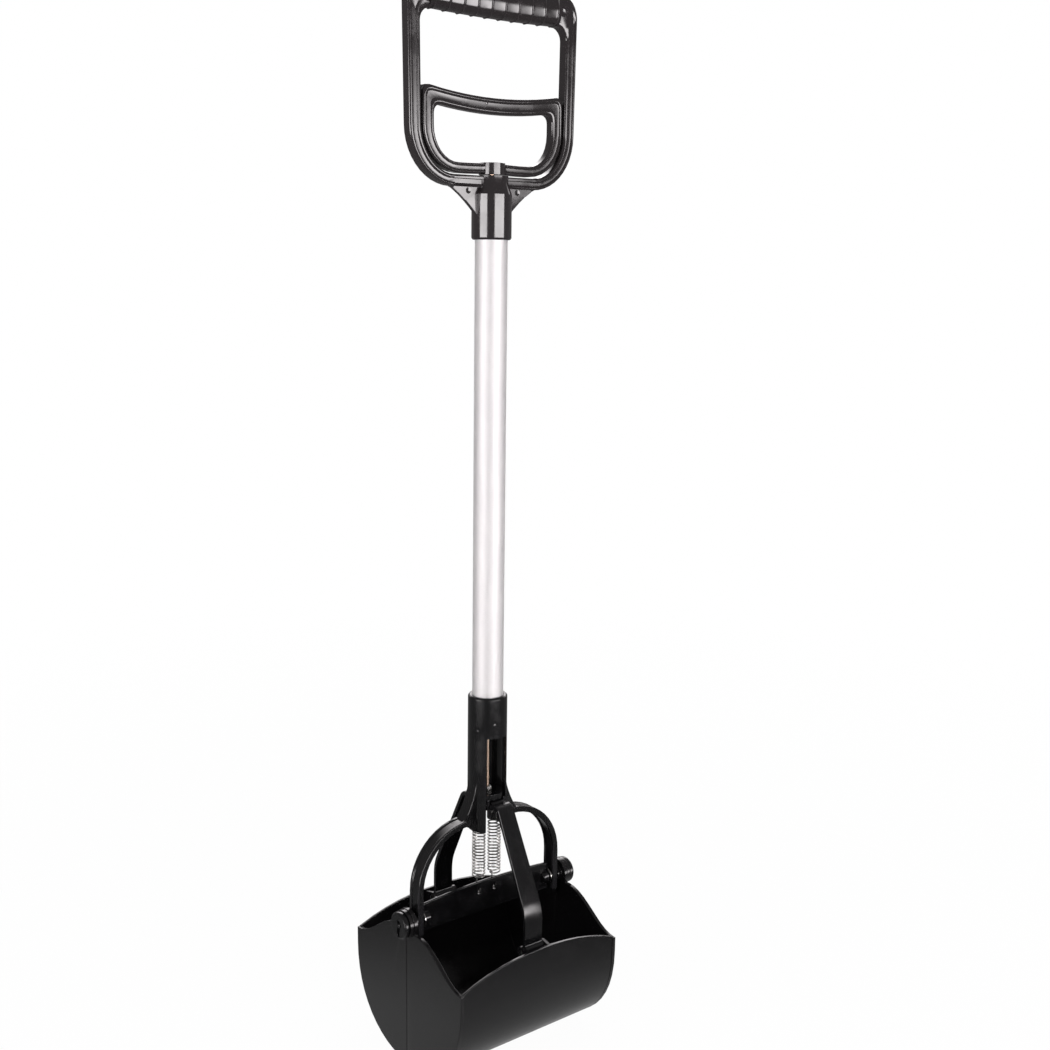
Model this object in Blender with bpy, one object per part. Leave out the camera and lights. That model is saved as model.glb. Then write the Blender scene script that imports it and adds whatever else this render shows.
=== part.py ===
"""Pooper scooper with a D-handle, a squeeze trigger and two spring-closed jaws.

Metres, +Z up, the front jaw towards -Y.  The origin lies on the ground under the middle
of the closed jaws.  Every height below is measured from the jaws' hinge axis, which runs
along X, and the whole part is lifted by JAW_DROP so that the jaw lips stand on Z = 0.
"""
import math

import bmesh
import bpy
import numpy as np
from mathutils import Matrix, Vector

# Driving sizes of the jaws
JAW_HALF_DEPTH = 0.0725
JAW_DROP = 0.121
JAW_STRAIGHT_DROP = 0.045
JAW_CORNER_DROP = 0.032
JAW_CROWN_DROP = 0.017
JAW_SHOULDER_DROP = 0.006
JAW_SHOULDER_REACH = 0.015
JAW_WALL = 0.0025
JAW_END_WALL = 0.0032
JAW_END_BEAD = 0.0005
JAW_LIP_FLAT = 0.008
JAW_BELLY_SHARE = 0.92
JAW_HUB_LENGTH = 0.0042
EAR_RADIUS = 0.012
OUTER_EAR_RADIUS = 0.0115
OUTER_EAR_THICKNESS = 0.003

# Driving sizes of the shaft, the handle and the arch
TUBE_DIAMETER = 0.025
TUBE_WALL = 0.0012
TUBE_BOTTOM = 0.1455
TUBE_TOP = 0.5615
YOKE_RADIUS = 0.0159
YOKE_TOP = 0.1747
YOKE_BOTTOM = 0.0615
YOKE_STOP_TOP = 0.1452
YOKE_SLOT_TOP = 0.141
YOKE_SLOT_WIDTH = 0.0196
ARCH_HALF_WIDTH = 0.072
ARCH_TOP = 0.074
ARCH_CORNER_RADIUS = 0.05
ARCH_THICKNESS = 0.0051
ARCH_DEPTH = 0.013
ARCH_GROOVE = 0.0008
COLLAR_RADIUS = 0.01524
COLLAR_BOTTOM = 0.5320
COLLAR_TOP = 0.5654
GRIP_TOP = 0.716
GRIP_BOTTOM = 0.6925
HANDLE_HALF_WIDTH = 0.0786
HANDLE_DEPTH = 0.0096

# Driving sizes of the mechanism
STROKE = 0.045
TRIGGER_SIDE_GAP = 0.00155
TRIGGER_TOP = 0.6350
TRIGGER_DEPTH = 0.0084
ROD_DIAMETER = 0.004
LINK_PIN_REACH = 0.010
LINK_PIN_HEIGHT = 0.084
CLEVIS_REACH = 0.061
CLEVIS_DROP = 0.021
STRAP_WIDTH = 0.0176
STRAP_THICKNESS = 0.003
SPRING_OFFSET = 0.0079
SPRING_DIAMETER = 0.0112
SPRING_WIRE = 0.0011
SPRING_TURNS = 15
PIN_STEM_DIAMETER = 0.008

# Clearances: SEAT between pieces that touch, RUN between pieces that slide or turn
SEAT = 0.0003
RUN = 0.0004
CUT_OVERRUN = 0.002

HINGE = Vector((0.0, 0.0, JAW_DROP))
HALF_LENGTH = ARCH_HALF_WIDTH + JAW_HUB_LENGTH + JAW_END_WALL
TUBE_RADIUS = TUBE_DIAMETER / 2
ROD_RADIUS = ROD_DIAMETER / 2
YOKE_BORE = SPRING_OFFSET + SPRING_DIAMETER / 2 + RUN


# Materials

def material(name, colour, roughness, metallic=0.0):
    made = bpy.data.materials.new(name)
    made.use_nodes = True
    shader = made.node_tree.nodes["Principled BSDF"]
    shader.inputs["Base Color"].default_value = (*colour, 1.0)
    shader.inputs["Roughness"].default_value = roughness
    shader.inputs["Metallic"].default_value = metallic
    return made


def make_materials():
    return {
        "handle": material("handle_black_plastic", (0.022, 0.019, 0.019), 0.38),
        "yoke": material("yoke_black_plastic", (0.018, 0.018, 0.019), 0.34),
        "jaw": material("jaw_black_plastic", (0.020, 0.018, 0.021), 0.28),
        "tube": material("satin_aluminium", (0.72, 0.72, 0.73), 0.33, 1.0),
        "steel": material("bright_steel", (0.62, 0.61, 0.60), 0.22, 1.0),
        "rod": material("brassy_rod", (0.70, 0.48, 0.33), 0.25, 1.0),
    }


# Meshes and modifiers

def clear_scene():
    for thing in list(bpy.data.objects):
        bpy.data.objects.remove(thing, do_unlink=True)


def object_from(name, bm, stuff, origin=HINGE, smooth_angle=35.0):
    """Closes the mesh's normals outwards and puts the object's origin at a chosen point."""
    bmesh.ops.recalc_face_normals(bm, faces=bm.faces)
    mesh = bpy.data.meshes.new(name)
    bm.to_mesh(mesh)
    bm.free()
    thing = bpy.data.objects.new(name, mesh)
    bpy.context.collection.objects.link(thing)
    if stuff is not None:
        mesh.materials.append(stuff)
    mesh.shade_smooth()
    mesh.set_sharp_from_angle(angle=math.radians(smooth_angle))
    mesh.transform(Matrix.Translation(HINGE - origin))
    thing.location = origin
    return thing


def as_tool(thing):
    thing.hide_render = True
    thing.display_type = 'WIRE'
    return thing


def combine(target, tool, operation):
    step = target.modifiers.new(tool.name, 'BOOLEAN')
    step.operation = operation
    step.object = as_tool(tool)
    return target


def cut(target, tool):
    return combine(target, tool, 'DIFFERENCE')


def join(target, tool):
    return combine(target, tool, 'UNION')


def skin(bm, rings, closed_path=False):
    """Bridges equal rings of points in order; an open row of rings gets flat caps."""
    rows = [[bm.verts.new(point) for point in ring] for ring in rings]
    count = len(rows[0])
    last = len(rows) if closed_path else len(rows) - 1
    for i in range(last):
        here, there = rows[i], rows[(i + 1) % len(rows)]
        for j in range(count):
            k = (j + 1) % count
            bm.faces.new((here[j], here[k], there[k], there[j]))
    if not closed_path:
        bm.faces.new(rows[0])
        bm.faces.new(rows[-1])


def loft(name, rings, stuff, closed_path=False, **options):
    bm = bmesh.new()
    skin(bm, rings, closed_path)
    return object_from(name, bm, stuff, **options)


def prism_x(name, outline, x_low, x_high, stuff=None, **options):
    """An outline of (y, z) points, extruded along X."""
    rings = [[(x, y, z) for y, z in outline] for x in (x_low, x_high)]
    return loft(name, rings, stuff, **options)


def prism_y(name, outline, y_low, y_high, stuff=None, **options):
    """An outline of (x, z) points, extruded along Y."""
    rings = [[(x, y, z) for x, z in outline] for y in (y_low, y_high)]
    return loft(name, rings, stuff, **options)


def box(name, low, high, stuff=None, **options):
    outline = [(low[1], low[2]), (high[1], low[2]), (high[1], high[2]), (low[1], high[2])]
    return prism_x(name, outline, low[0], high[0], stuff, **options)


def circle(radius, count, centre=(0.0, 0.0), start=0.0):
    steps = [start + 2 * math.pi * i / count for i in range(count)]
    return [(centre[0] + radius * math.cos(a), centre[1] + radius * math.sin(a)) for a in steps]


def arc(radius, start, end, count, centre=(0.0, 0.0)):
    """Points on an arc from one angle to another, in degrees, ends included."""
    steps = [math.radians(start + (end - start) * i / count) for i in range(count + 1)]
    return [(centre[0] + radius * math.cos(a), centre[1] + radius * math.sin(a)) for a in steps]


def turned_z(name, profile, stuff=None, count=32, **options):
    """A profile of (radius, z) points turned about the Z axis, with flat round ends."""
    rings = [[(x, y, z) for x, y in circle(radius, count)] for radius, z in profile]
    return loft(name, rings, stuff, **options)


def turned_x(name, profile, side=1.0, stuff=None, count=28, centre=(0.0, 0.0), **options):
    """A profile of (radius, x) points turned about an axis along X."""
    rings = [[(side * x, y, z) for y, z in circle(radius, count, centre)]
             for radius, x in profile]
    return loft(name, rings, stuff, **options)


def rod_x(name, radius, x_low, x_high, centre, stuff=None, count=16, **options):
    return turned_x(name, [(radius, x_low), (radius, x_high)], 1.0, stuff, count, centre,
                    **options)


def between(a, b, share):
    return a + (b - a) * share


def ribbon(name, stations, section, stuff=None, closed_path=False, **options):
    """Sweeps a section in the XZ plane: each station is an inner and an outer point, and
    each section point is a share of the way from one to the other, and a depth in Y."""
    rings = []
    for inner, outer in stations:
        rings.append([(between(inner[0], outer[0], share), depth,
                       between(inner[1], outer[1], share)) for share, depth in section])
    return loft(name, rings, stuff, closed_path, **options)


def channel_section(depth, groove, edge, groove_shares=(0.3, 0.78), edge_share=0.12):
    """A bar's section with chamfered corners and a shallow groove along front and back."""
    low, high = groove_shares
    slope_share = 0.06
    front = [(edge_share, -depth / 2), (low, -depth / 2),
             (low + slope_share, -depth / 2 + groove), (high - slope_share, -depth / 2 + groove),
             (high, -depth / 2), (1 - edge_share, -depth / 2), (1.0, -depth / 2 + edge)]
    back = [(share, -y) for share, y in reversed(front)]
    return front + back + [(0.0, depth / 2 - edge), (0.0, -depth / 2 + edge)]


# Jaws

def jaw_wall_profile(rim_height, steps=11):
    """Outer face of the curved wall, from the lip at the seam up to the rim, as (y, z)."""
    points = [(SEAT / 2, -JAW_DROP), (JAW_LIP_FLAT, -JAW_DROP)]
    first = math.asin(JAW_LIP_FLAT / JAW_HALF_DEPTH)
    belly = JAW_DROP - JAW_STRAIGHT_DROP
    for i in range(1, steps + 1):
        angle = between(first, math.pi / 2, i / steps)
        outwards = math.sin(angle) ** JAW_BELLY_SHARE
        downwards = max(math.cos(angle), 0.0) ** JAW_BELLY_SHARE
        points.append((JAW_HALF_DEPTH * outwards, -JAW_STRAIGHT_DROP - belly * downwards))
    points.append((JAW_HALF_DEPTH, rim_height))
    return points


def inner_wall_profile(outer):
    """The same line moved in by the wall's thickness, square to the wall at each point."""
    inner = []
    for i, (y, z) in enumerate(outer):
        before = Vector(outer[max(i - 1, 0)])
        after = Vector(outer[min(i + 1, len(outer) - 1)])
        along = (after - before).normalized()
        inner.append((y - along.y * JAW_WALL, z + along.x * JAW_WALL))
    inner[0] = (outer[0][0], inner[0][1])
    inner[-1] = (inner[-1][0], outer[-1][1])
    return inner


def rim_height(x):
    """The rim bows up from the corners to the crown over the clevis."""
    bow_share = 2.3
    rise = JAW_CORNER_DROP - JAW_CROWN_DROP
    return -JAW_CROWN_DROP - rise * abs(x / HALF_LENGTH) ** bow_share


def end_wall_top(steps=10):
    """S-shaped top edge of an end wall, from the hinge shoulder out to the corner."""
    points = []
    for i in range(steps + 1):
        y = between(JAW_SHOULDER_REACH, JAW_HALF_DEPTH, i / steps)
        rise = JAW_CORNER_DROP - JAW_SHOULDER_DROP
        height = -JAW_CORNER_DROP + rise * (1 + math.cos(math.pi * i / steps)) / 2
        points.append((y, height))
    return points


def end_wall_outline(full_ear):
    """One end wall as (y, z): with the whole ear, or notched to clear the other's ear and
    with the root that its own outboard ear stands on."""
    if full_ear:
        radius = EAR_RADIUS
        lowest = math.degrees(math.asin(JAW_SHOULDER_DROP / radius))
        hub = [(SEAT / 2, -radius)] + arc(radius, -90.0, -360.0 - lowest, 24)[1:]
        top = end_wall_top()
    else:
        radius = EAR_RADIUS + 2 * SEAT
        highest = -math.degrees(math.asin(EAR_FOOT_RADIUS / radius)) / 3
        hub = [(SEAT / 2, -radius)] + arc(radius, -90.0, highest, 9)[1:]
        root = hub[-1][0] + EAR_ROOT_WIDTH
        hub += [(root, hub[-1][1]), (root + EAR_FOOT_RADIUS, -JAW_SHOULDER_DROP)]
        top = [point for point in end_wall_top() if point[0] > root + 2 * EAR_FOOT_RADIUS]
    wall = jaw_wall_profile(-JAW_CORNER_DROP)
    beaded = [(y + JAW_END_BEAD * (JAW_DROP + z) / (JAW_DROP - JAW_CORNER_DROP), z)
              for y, z in reversed(wall)]
    return hub + top[:-1] + beaded


def facing(outline, side):
    """The rear jaw is drawn towards +Y; the front jaw is its mirror image."""
    return [(side * y, z) for y, z in outline]


def make_jaw(name, side, full_ear, stuff):
    """A half bucket: curved wall, two end walls with ears, and the strap's clevis."""
    overlap = JAW_END_WALL / 2
    half = HALF_LENGTH - overlap
    columns = 12
    rings = []
    for i in range(columns + 1):
        x = between(-half, half, i / columns)
        outer = jaw_wall_profile(rim_height(x))
        ring = outer + list(reversed(inner_wall_profile(outer)))
        rings.append([(x, side * y, z) for y, z in ring])
    jaw = loft(name, rings, stuff)

    outline = facing(end_wall_outline(full_ear), side)
    for end in (-1.0, 1.0):
        label = name + ("_left" if end < 0 else "_right")
        inner_x, outer_x = end * (HALF_LENGTH - JAW_END_WALL), end * HALF_LENGTH
        wall = prism_x(label + "_end_wall", outline, min(inner_x, outer_x), max(inner_x, outer_x))
        join(jaw, wall)
        if full_ear:
            hub_start = ARCH_HALF_WIDTH + ARCH_GROOVE / 4 + SEAT
            hub_radius = PIN_STEM_DIAMETER / 2 + JAW_END_WALL
            hub_ends = [(hub_radius, hub_start), (hub_radius, HALF_LENGTH - overlap)]
            hub = turned_x(label + "_hub", hub_ends, end)
            join(jaw, hub)
        else:
            join(jaw, outer_ear(label, side, end))
            join(jaw, outer_ear_foot(label, side, end))
        bore = PIN_STEM_DIAMETER / 2 + RUN
        reach = HALF_LENGTH + 2 * OUTER_EAR_THICKNESS
        hole = turned_x(label + "_bore", [(bore, HALF_LENGTH / 2), (bore, reach)], end, count=24)
        cut(jaw, hole)
    for end in (-1.0, 1.0):
        join(jaw, clevis_lug(name, side, end))
    pin_hole = rod_x(name + "_clevis_hole", CLEVIS_PIN_RADIUS + SEAT, -STRAP_WIDTH, STRAP_WIDTH,
                     (side * CLEVIS_REACH, -CLEVIS_DROP))
    cut(jaw, pin_hole)
    return jaw


EAR_GAP = 0.0004
EAR_FOOT_REACH = 0.0148
EAR_FOOT_DROP = 0.0054
EAR_FOOT_RADIUS = 0.003
EAR_ROOT_WIDTH = 0.0042


def outer_ear(label, side, end):
    """The outboard ear of the jaw whose end wall is notched, tapering to its foot."""
    start = HALF_LENGTH + EAR_GAP
    stop = start + OUTER_EAR_THICKNESS
    rim = EAR_FOOT_RADIUS + JAW_END_BEAD
    lean = math.degrees(math.atan2(EAR_FOOT_DROP, EAR_FOOT_REACH))
    distance = math.hypot(EAR_FOOT_REACH, EAR_FOOT_DROP)
    spread = math.degrees(math.acos((OUTER_EAR_RADIUS - rim) / distance))
    outline = arc(OUTER_EAR_RADIUS, -lean + spread, 360.0 - lean - spread, 20)
    outline += arc(rim, -lean - spread, -lean + spread, 10, (EAR_FOOT_REACH, -EAR_FOOT_DROP))
    low, high = sorted((end * start, end * stop))
    return prism_x(label + "_outer_ear", facing(outline, side), low, high)


def outer_ear_foot(label, side, end):
    """The step that carries the outboard ear on the end wall."""
    start = HALF_LENGTH - JAW_END_WALL / 2
    stop = HALF_LENGTH + EAR_GAP + OUTER_EAR_THICKNESS / 2
    low, high = sorted((end * start, end * stop))
    foot = circle(EAR_FOOT_RADIUS, 14, (side * EAR_FOOT_REACH, -EAR_FOOT_DROP))
    return prism_x(label + "_ear_foot", foot, low, high)


CLEVIS_PIN_RADIUS = 0.002
CLEVIS_LUG_RADIUS = 0.0045
CLEVIS_LUG_THICKNESS = 0.0025


def clevis_lug(name, side, end):
    """One of the two lugs inside the rim that hold a strap's lower pin."""
    start = STRAP_WIDTH / 2 + 2 * SEAT
    root = JAW_HALF_DEPTH - JAW_WALL / 2
    foot_drop = 2 * CLEVIS_LUG_RADIUS
    outline = arc(CLEVIS_LUG_RADIUS, 90.0, 270.0, 9, (CLEVIS_REACH, -CLEVIS_DROP))
    outline += [(root, -CLEVIS_DROP - foot_drop), (root, -CLEVIS_DROP + CLEVIS_LUG_RADIUS / 2)]
    low, high = sorted((end * start, end * (start + CLEVIS_LUG_THICKNESS)))
    label = name + ("_left" if end < 0 else "_right") + "_clevis_lug"
    return prism_x(label, facing(outline, side), low, high)


# Yoke with its arch

ARCH_FOOT_DROP = 0.011
FLARE_TOP = 0.106
FLARE_HALF_WIDTH = 0.0265
RIM_CHAMFER = 0.0012


def arch_stations():
    """Inner and outer points of the arch, from the left leg over the top to the right."""
    centre = (ARCH_HALF_WIDTH - ARCH_CORNER_RADIUS, ARCH_TOP - ARCH_CORNER_RADIUS)
    inner_radius = ARCH_CORNER_RADIUS - ARCH_THICKNESS
    outer = [(ARCH_HALF_WIDTH, -ARCH_FOOT_DROP)] + arc(ARCH_CORNER_RADIUS, 0.0, 90.0, 12, centre)
    inner = [(ARCH_HALF_WIDTH - ARCH_THICKNESS, -ARCH_FOOT_DROP)]
    inner += arc(inner_radius, 0.0, 90.0, 12, centre)
    right = list(zip(inner, outer))
    left = [((-a[0], a[1]), (-b[0], b[1])) for a, b in right]
    return left + list(reversed(right))


def flare_outline():
    """Web that spreads the yoke into the arch, drawn for the right side as (x, z)."""
    inside = YOKE_BORE + RIM_CHAMFER / 2
    curve = []
    for i in range(7):
        share = i / 6
        x = between(YOKE_RADIUS - RIM_CHAMFER, FLARE_HALF_WIDTH, share ** 1.7)
        curve.append((x, between(FLARE_TOP, ARCH_TOP - RIM_CHAMFER / 2, share)))
    base = ARCH_TOP - ARCH_THICKNESS + RIM_CHAMFER / 2
    return [(inside, FLARE_TOP)] + curve + [(FLARE_HALF_WIDTH, base), (inside, YOKE_BOTTOM + RIM_CHAMFER)]


def make_yoke(materials):
    """The socket on the tube, its two slots, the flare and the arch with the hinge bosses."""
    seat_radius = TUBE_RADIUS + SEAT
    body = turned_z("yoke", [(YOKE_RADIUS - RIM_CHAMFER / 2, YOKE_BOTTOM),
                                  (YOKE_RADIUS, YOKE_BOTTOM + RIM_CHAMFER),
                                  (YOKE_RADIUS, YOKE_TOP - RIM_CHAMFER),
                                  (YOKE_RADIUS - RIM_CHAMFER, YOKE_TOP)], materials["yoke"], 32)
    section = arch_section()
    join(body, ribbon("arch", arch_stations(), section))
    for side in (-1.0, 1.0):
        label = "left" if side < 0 else "right"
        web = [(side * x, z) for x, z in flare_outline()]
        web_half = ARCH_DEPTH / 2 - ARCH_GROOVE
        join(body, prism_y(label + "_flare", web, -web_half, web_half))
        foot = ARCH_DEPTH / 2 - ARCH_GROOVE / 4
        boss = PIN_STEM_DIAMETER / 2 + ARCH_GROOVE + SEAT
        leg_in = ARCH_HALF_WIDTH - ARCH_THICKNESS
        boss_in = leg_in - ARCH_GROOVE
        foot_ends = [(foot, leg_in + ARCH_GROOVE / 2), (foot, ARCH_HALF_WIDTH - ARCH_GROOVE / 2)]
        join(body, turned_x(label + "_foot", foot_ends, side, count=20, centre=(0.0, -ARCH_FOOT_DROP)))
        boss_ends = [(boss, boss_in), (boss, ARCH_HALF_WIDTH + ARCH_GROOVE / 4)]
        join(body, turned_x(label + "_boss", boss_ends, side))
        bore = PIN_STEM_DIAMETER / 2 + SEAT
        bore_ends = [(bore, boss_in - CUT_OVERRUN), (bore, ARCH_HALF_WIDTH + CUT_OVERRUN)]
        cut(body, turned_x(label + "_boss_bore", bore_ends, side, count=24))
    cut(body, turned_z("yoke_lower_bore", [(YOKE_BORE, YOKE_BOTTOM - CUT_OVERRUN - ARCH_THICKNESS),
                                           (YOKE_BORE, YOKE_SLOT_TOP)], count=32))
    stop_radius = YOKE_BORE / 2
    cut(body, turned_z("yoke_rod_bore", [(stop_radius, YOKE_SLOT_TOP - CUT_OVERRUN),
                                         (stop_radius, YOKE_STOP_TOP + CUT_OVERRUN)], count=24))
    cut(body, turned_z("yoke_socket", [(seat_radius, YOKE_STOP_TOP),
                                       (seat_radius, YOKE_TOP + CUT_OVERRUN)], count=32))
    slot_half = YOKE_SLOT_WIDTH / 2
    outer = YOKE_RADIUS + CUT_OVERRUN
    cut(body, box("yoke_slots", (-slot_half, -outer, YOKE_BOTTOM - ARCH_DEPTH),
                  (slot_half, outer, YOKE_SLOT_TOP)))
    return body


def arch_section():
    """The arch's flat bar, with a shallow groove along its outer and inner faces."""
    groove_share = ARCH_GROOVE / ARCH_THICKNESS
    half = ARCH_DEPTH / 2
    rib = half * 0.55
    slope = ARCH_GROOVE / 2
    outer = [(1 - groove_share / 2, -half), (1.0, -half + slope), (1.0, -rib - slope),
             (1 - groove_share, -rib), (1 - groove_share, rib), (1.0, rib + slope),
             (1.0, half - slope), (1 - groove_share / 2, half)]
    inner = [(groove_share / 2, half), (0.0, half - slope), (0.0, rib + slope), (groove_share, rib),
             (groove_share, -rib), (0.0, -rib - slope), (0.0, -half + slope), (groove_share / 2, -half)]
    return outer + inner


# Tube

def make_tube(materials):
    tube = turned_z("tube", [(TUBE_RADIUS, TUBE_BOTTOM), (TUBE_RADIUS, TUBE_TOP)], materials["tube"], 48)
    bore = TUBE_RADIUS - TUBE_WALL
    bore_ends = [(bore, TUBE_BOTTOM - CUT_OVERRUN), (bore, TUBE_TOP + CUT_OVERRUN)]
    cut(tube, turned_z("tube_bore", bore_ends, count=48))
    return tube


# Handle

HANDLE_BAR_WIDTH = 0.0108
HANDLE_TAPER = 0.0015
HANDLE_SIDE_BOTTOM = 0.612
HANDLE_CORNER_WIDTH = 0.040
HANDLE_BOTTOM = 0.570
HANDLE_BOTTOM_BAR = 0.0085
HANDLE_GROOVE = 0.0011
HANDLE_EDGE = 0.0011
GRIP_HALF_DEPTH = 0.0078
GRIP_END_RADIUS = 0.016
GRIP_INNER_RADIUS = 0.010
GRIP_BOW = 0.0014
GRIP_RIB_PITCH = 0.0125
GRIP_RIB_WIDTH = 0.0018
GRIP_RIB_HEIGHT = 0.001
GRIP_ROUND_SHARE = 0.72
NECK_RADIUS = 0.0125
NECK_TOP = 0.5788
SHOULDER_TOP = 0.5727
GUSSET_REACH = 0.0425
GUSSET_DEPTH = 0.0038
GUSSET_CURVE = 1.35
GUSSET_FOOT = 0.549


def grip_low_edge(x):
    inner_face = HANDLE_HALF_WIDTH - HANDLE_BAR_WIDTH
    return GRIP_BOTTOM - GRIP_BOW * (1 - min(abs(x) / inner_face, 1.0) ** 2)


def grip_rib_count():
    """As many ribs as fit at their pitch between the frame's rounded corners."""
    room = 2 * (HANDLE_HALF_WIDTH - HANDLE_BAR_WIDTH - GRIP_INNER_RADIUS)
    return int(room / GRIP_RIB_PITCH) + 1


def grip_end():
    return GRIP_RIB_PITCH * (grip_rib_count() - 1) / 2 + 2 * GRIP_RIB_WIDTH


def handle_stations():
    """Inner and outer points of the frame, from the left end of the grip down round the
    bottom and up to the right end, each with the share of the groove's depth there."""
    lower_half = HANDLE_HALF_WIDTH - HANDLE_TAPER
    side_bar = HANDLE_BAR_WIDTH - HANDLE_EDGE / 2
    start = grip_end() - GRIP_RIB_WIDTH
    right = [((start, grip_low_edge(start)), (start, GRIP_TOP), 0.0)]
    fillet_x = HANDLE_HALF_WIDTH - HANDLE_BAR_WIDTH - GRIP_INNER_RADIUS
    fillet = (fillet_x, grip_low_edge(fillet_x) - GRIP_INNER_RADIUS)
    corner = (HANDLE_HALF_WIDTH - GRIP_END_RADIUS, GRIP_TOP - GRIP_END_RADIUS)
    turn = 6
    arcs = zip(arc(GRIP_INNER_RADIUS, 90.0, 0.0, turn, fillet),
               arc(GRIP_END_RADIUS, 90.0, 0.0, turn, corner))
    for i, (inner, outer) in enumerate(arcs):
        right.append((inner, outer, max(2 * i / turn - 1, 0.0)))
    right.append(((lower_half - side_bar, HANDLE_SIDE_BOTTOM), (lower_half, HANDLE_SIDE_BOTTOM), 1.0))
    steps = 11
    centre_x = lower_half - HANDLE_CORNER_WIDTH
    outer_rise = HANDLE_SIDE_BOTTOM - HANDLE_BOTTOM
    inner_rise = outer_rise - HANDLE_BOTTOM_BAR
    for i in range(1, steps + 1):
        angle = math.pi / 2 * i / steps
        c, s = math.cos(angle), math.sin(angle)
        inner = (centre_x + (HANDLE_CORNER_WIDTH - side_bar) * c, HANDLE_SIDE_BOTTOM - inner_rise * s)
        outer = (centre_x + HANDLE_CORNER_WIDTH * c, HANDLE_SIDE_BOTTOM - outer_rise * s)
        right.append((inner, outer, 1.0))
    left = [((-a[0], a[1]), (-b[0], b[1]), groove) for a, b, groove in right]
    return left + list(reversed(right))


def make_handle_frame(stuff):
    """The frame: arms and bottom bar as a channel that fades into plain top corners."""
    rings = []
    for inner, outer, groove in handle_stations():
        section = channel_section(HANDLE_DEPTH, HANDLE_GROOVE * groove, HANDLE_EDGE)
        rings.append([(between(inner[0], outer[0], share), depth, between(inner[1], outer[1], share))
                      for share, depth in section])
    return loft("grip_handle", rings, stuff)


def make_grip():
    """The cross bar: a rounded grip with thin ribs round it, its ends in the frame."""
    half = GRIP_RIB_PITCH * (grip_rib_count() - 1) / 2
    stations = [(-grip_end(), 0.0)]
    for i in range(grip_rib_count()):
        x = -half + GRIP_RIB_PITCH * i
        stations += [(x - GRIP_RIB_WIDTH / 2, 0.0), (x, 1.0), (x + GRIP_RIB_WIDTH / 2, 0.0)]
    stations.append((grip_end(), 0.0))
    count = 14
    rings = []
    for x, rib in stations:
        low = grip_low_edge(x)
        middle, half_height = (low + GRIP_TOP) / 2, (GRIP_TOP - low) / 2
        swell = GRIP_RIB_HEIGHT * rib
        ring = []
        for i in range(count):
            angle = 2 * math.pi * i / count
            c, s = math.cos(angle), math.sin(angle)
            ring.append((x, (GRIP_HALF_DEPTH + swell) * math.copysign(abs(c) ** GRIP_ROUND_SHARE, c),
                         middle + (half_height + swell) * math.copysign(abs(s) ** GRIP_ROUND_SHARE, s)))
        rings.append(ring)
    return loft("grip_bar", rings, None)


def gusset_outline(side):
    """Curved web from under the frame down to the collar."""
    count = 5
    points = []
    for i in range(count + 1):
        share = i / count
        x = between(GUSSET_REACH, COLLAR_RADIUS - HANDLE_EDGE, share)
        points.append((side * x, between(HANDLE_BOTTOM + HANDLE_EDGE, GUSSET_FOOT, share ** GUSSET_CURVE)))
    inside = COLLAR_RADIUS - TUBE_WALL - HANDLE_EDGE
    points += [(side * inside, GUSSET_FOOT), (side * inside, HANDLE_BOTTOM + 2 * HANDLE_EDGE)]
    return points


def make_handle(materials):
    handle = make_handle_frame(materials["handle"])
    join(handle, make_grip())
    join(handle, turned_z("handle_collar", [
        (COLLAR_RADIUS - RIM_CHAMFER, COLLAR_BOTTOM), (COLLAR_RADIUS, COLLAR_BOTTOM + RIM_CHAMFER),
        (COLLAR_RADIUS, COLLAR_TOP),
        (between(NECK_RADIUS, COLLAR_RADIUS, 0.6), between(COLLAR_TOP, SHOULDER_TOP, 0.4)),
        (NECK_RADIUS, SHOULDER_TOP), (NECK_RADIUS, NECK_TOP)], count=40))
    for side in (-1.0, 1.0):
        label = "left" if side < 0 else "right"
        join(handle, prism_y(label + "_gusset", gusset_outline(side), -GUSSET_DEPTH / 2, GUSSET_DEPTH / 2))
    seat_radius = TUBE_RADIUS + SEAT
    cut(handle, turned_z("collar_bore", [(seat_radius, COLLAR_BOTTOM - CUT_OVERRUN),
                                         (seat_radius, TUBE_TOP + SEAT)], count=40))
    rod_bore = ROD_RADIUS + RUN
    cut(handle, turned_z("neck_bore", [(rod_bore, TUBE_TOP), (rod_bore, NECK_TOP + CUT_OVERRUN)], count=16))
    return handle


# Trigger, rod and slider

TRIGGER_HALF_WIDTH = (HANDLE_HALF_WIDTH - HANDLE_TAPER - HANDLE_BAR_WIDTH + HANDLE_EDGE / 2
                      - TRIGGER_SIDE_GAP)
TRIGGER_BAR_WIDTH = 0.0100
TRIGGER_BAR_HEIGHT = 0.0118
TRIGGER_SAG = 0.0061
TRIGGER_SIDE_BOTTOM = 0.612
TRIGGER_CORNER_WIDTH = 0.032
TRIGGER_BOTTOM = 0.5796
TRIGGER_BOTTOM_BAR = 0.0078
TRIGGER_GROOVE = 0.0010
TRIGGER_INNER_RADIUS = 0.006
TRIGGER_BOSS_RADIUS = 0.0100
TRIGGER_BOSS_TOP = 0.5883
TRIGGER_BOSS_BOTTOM = NECK_TOP + 2 * RUN
ROD_TOP = 0.5860
TRIGGER_HUMP = 0.0012


def trigger_top(x):
    return TRIGGER_TOP + TRIGGER_SAG * (x / TRIGGER_HALF_WIDTH) ** 2


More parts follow.
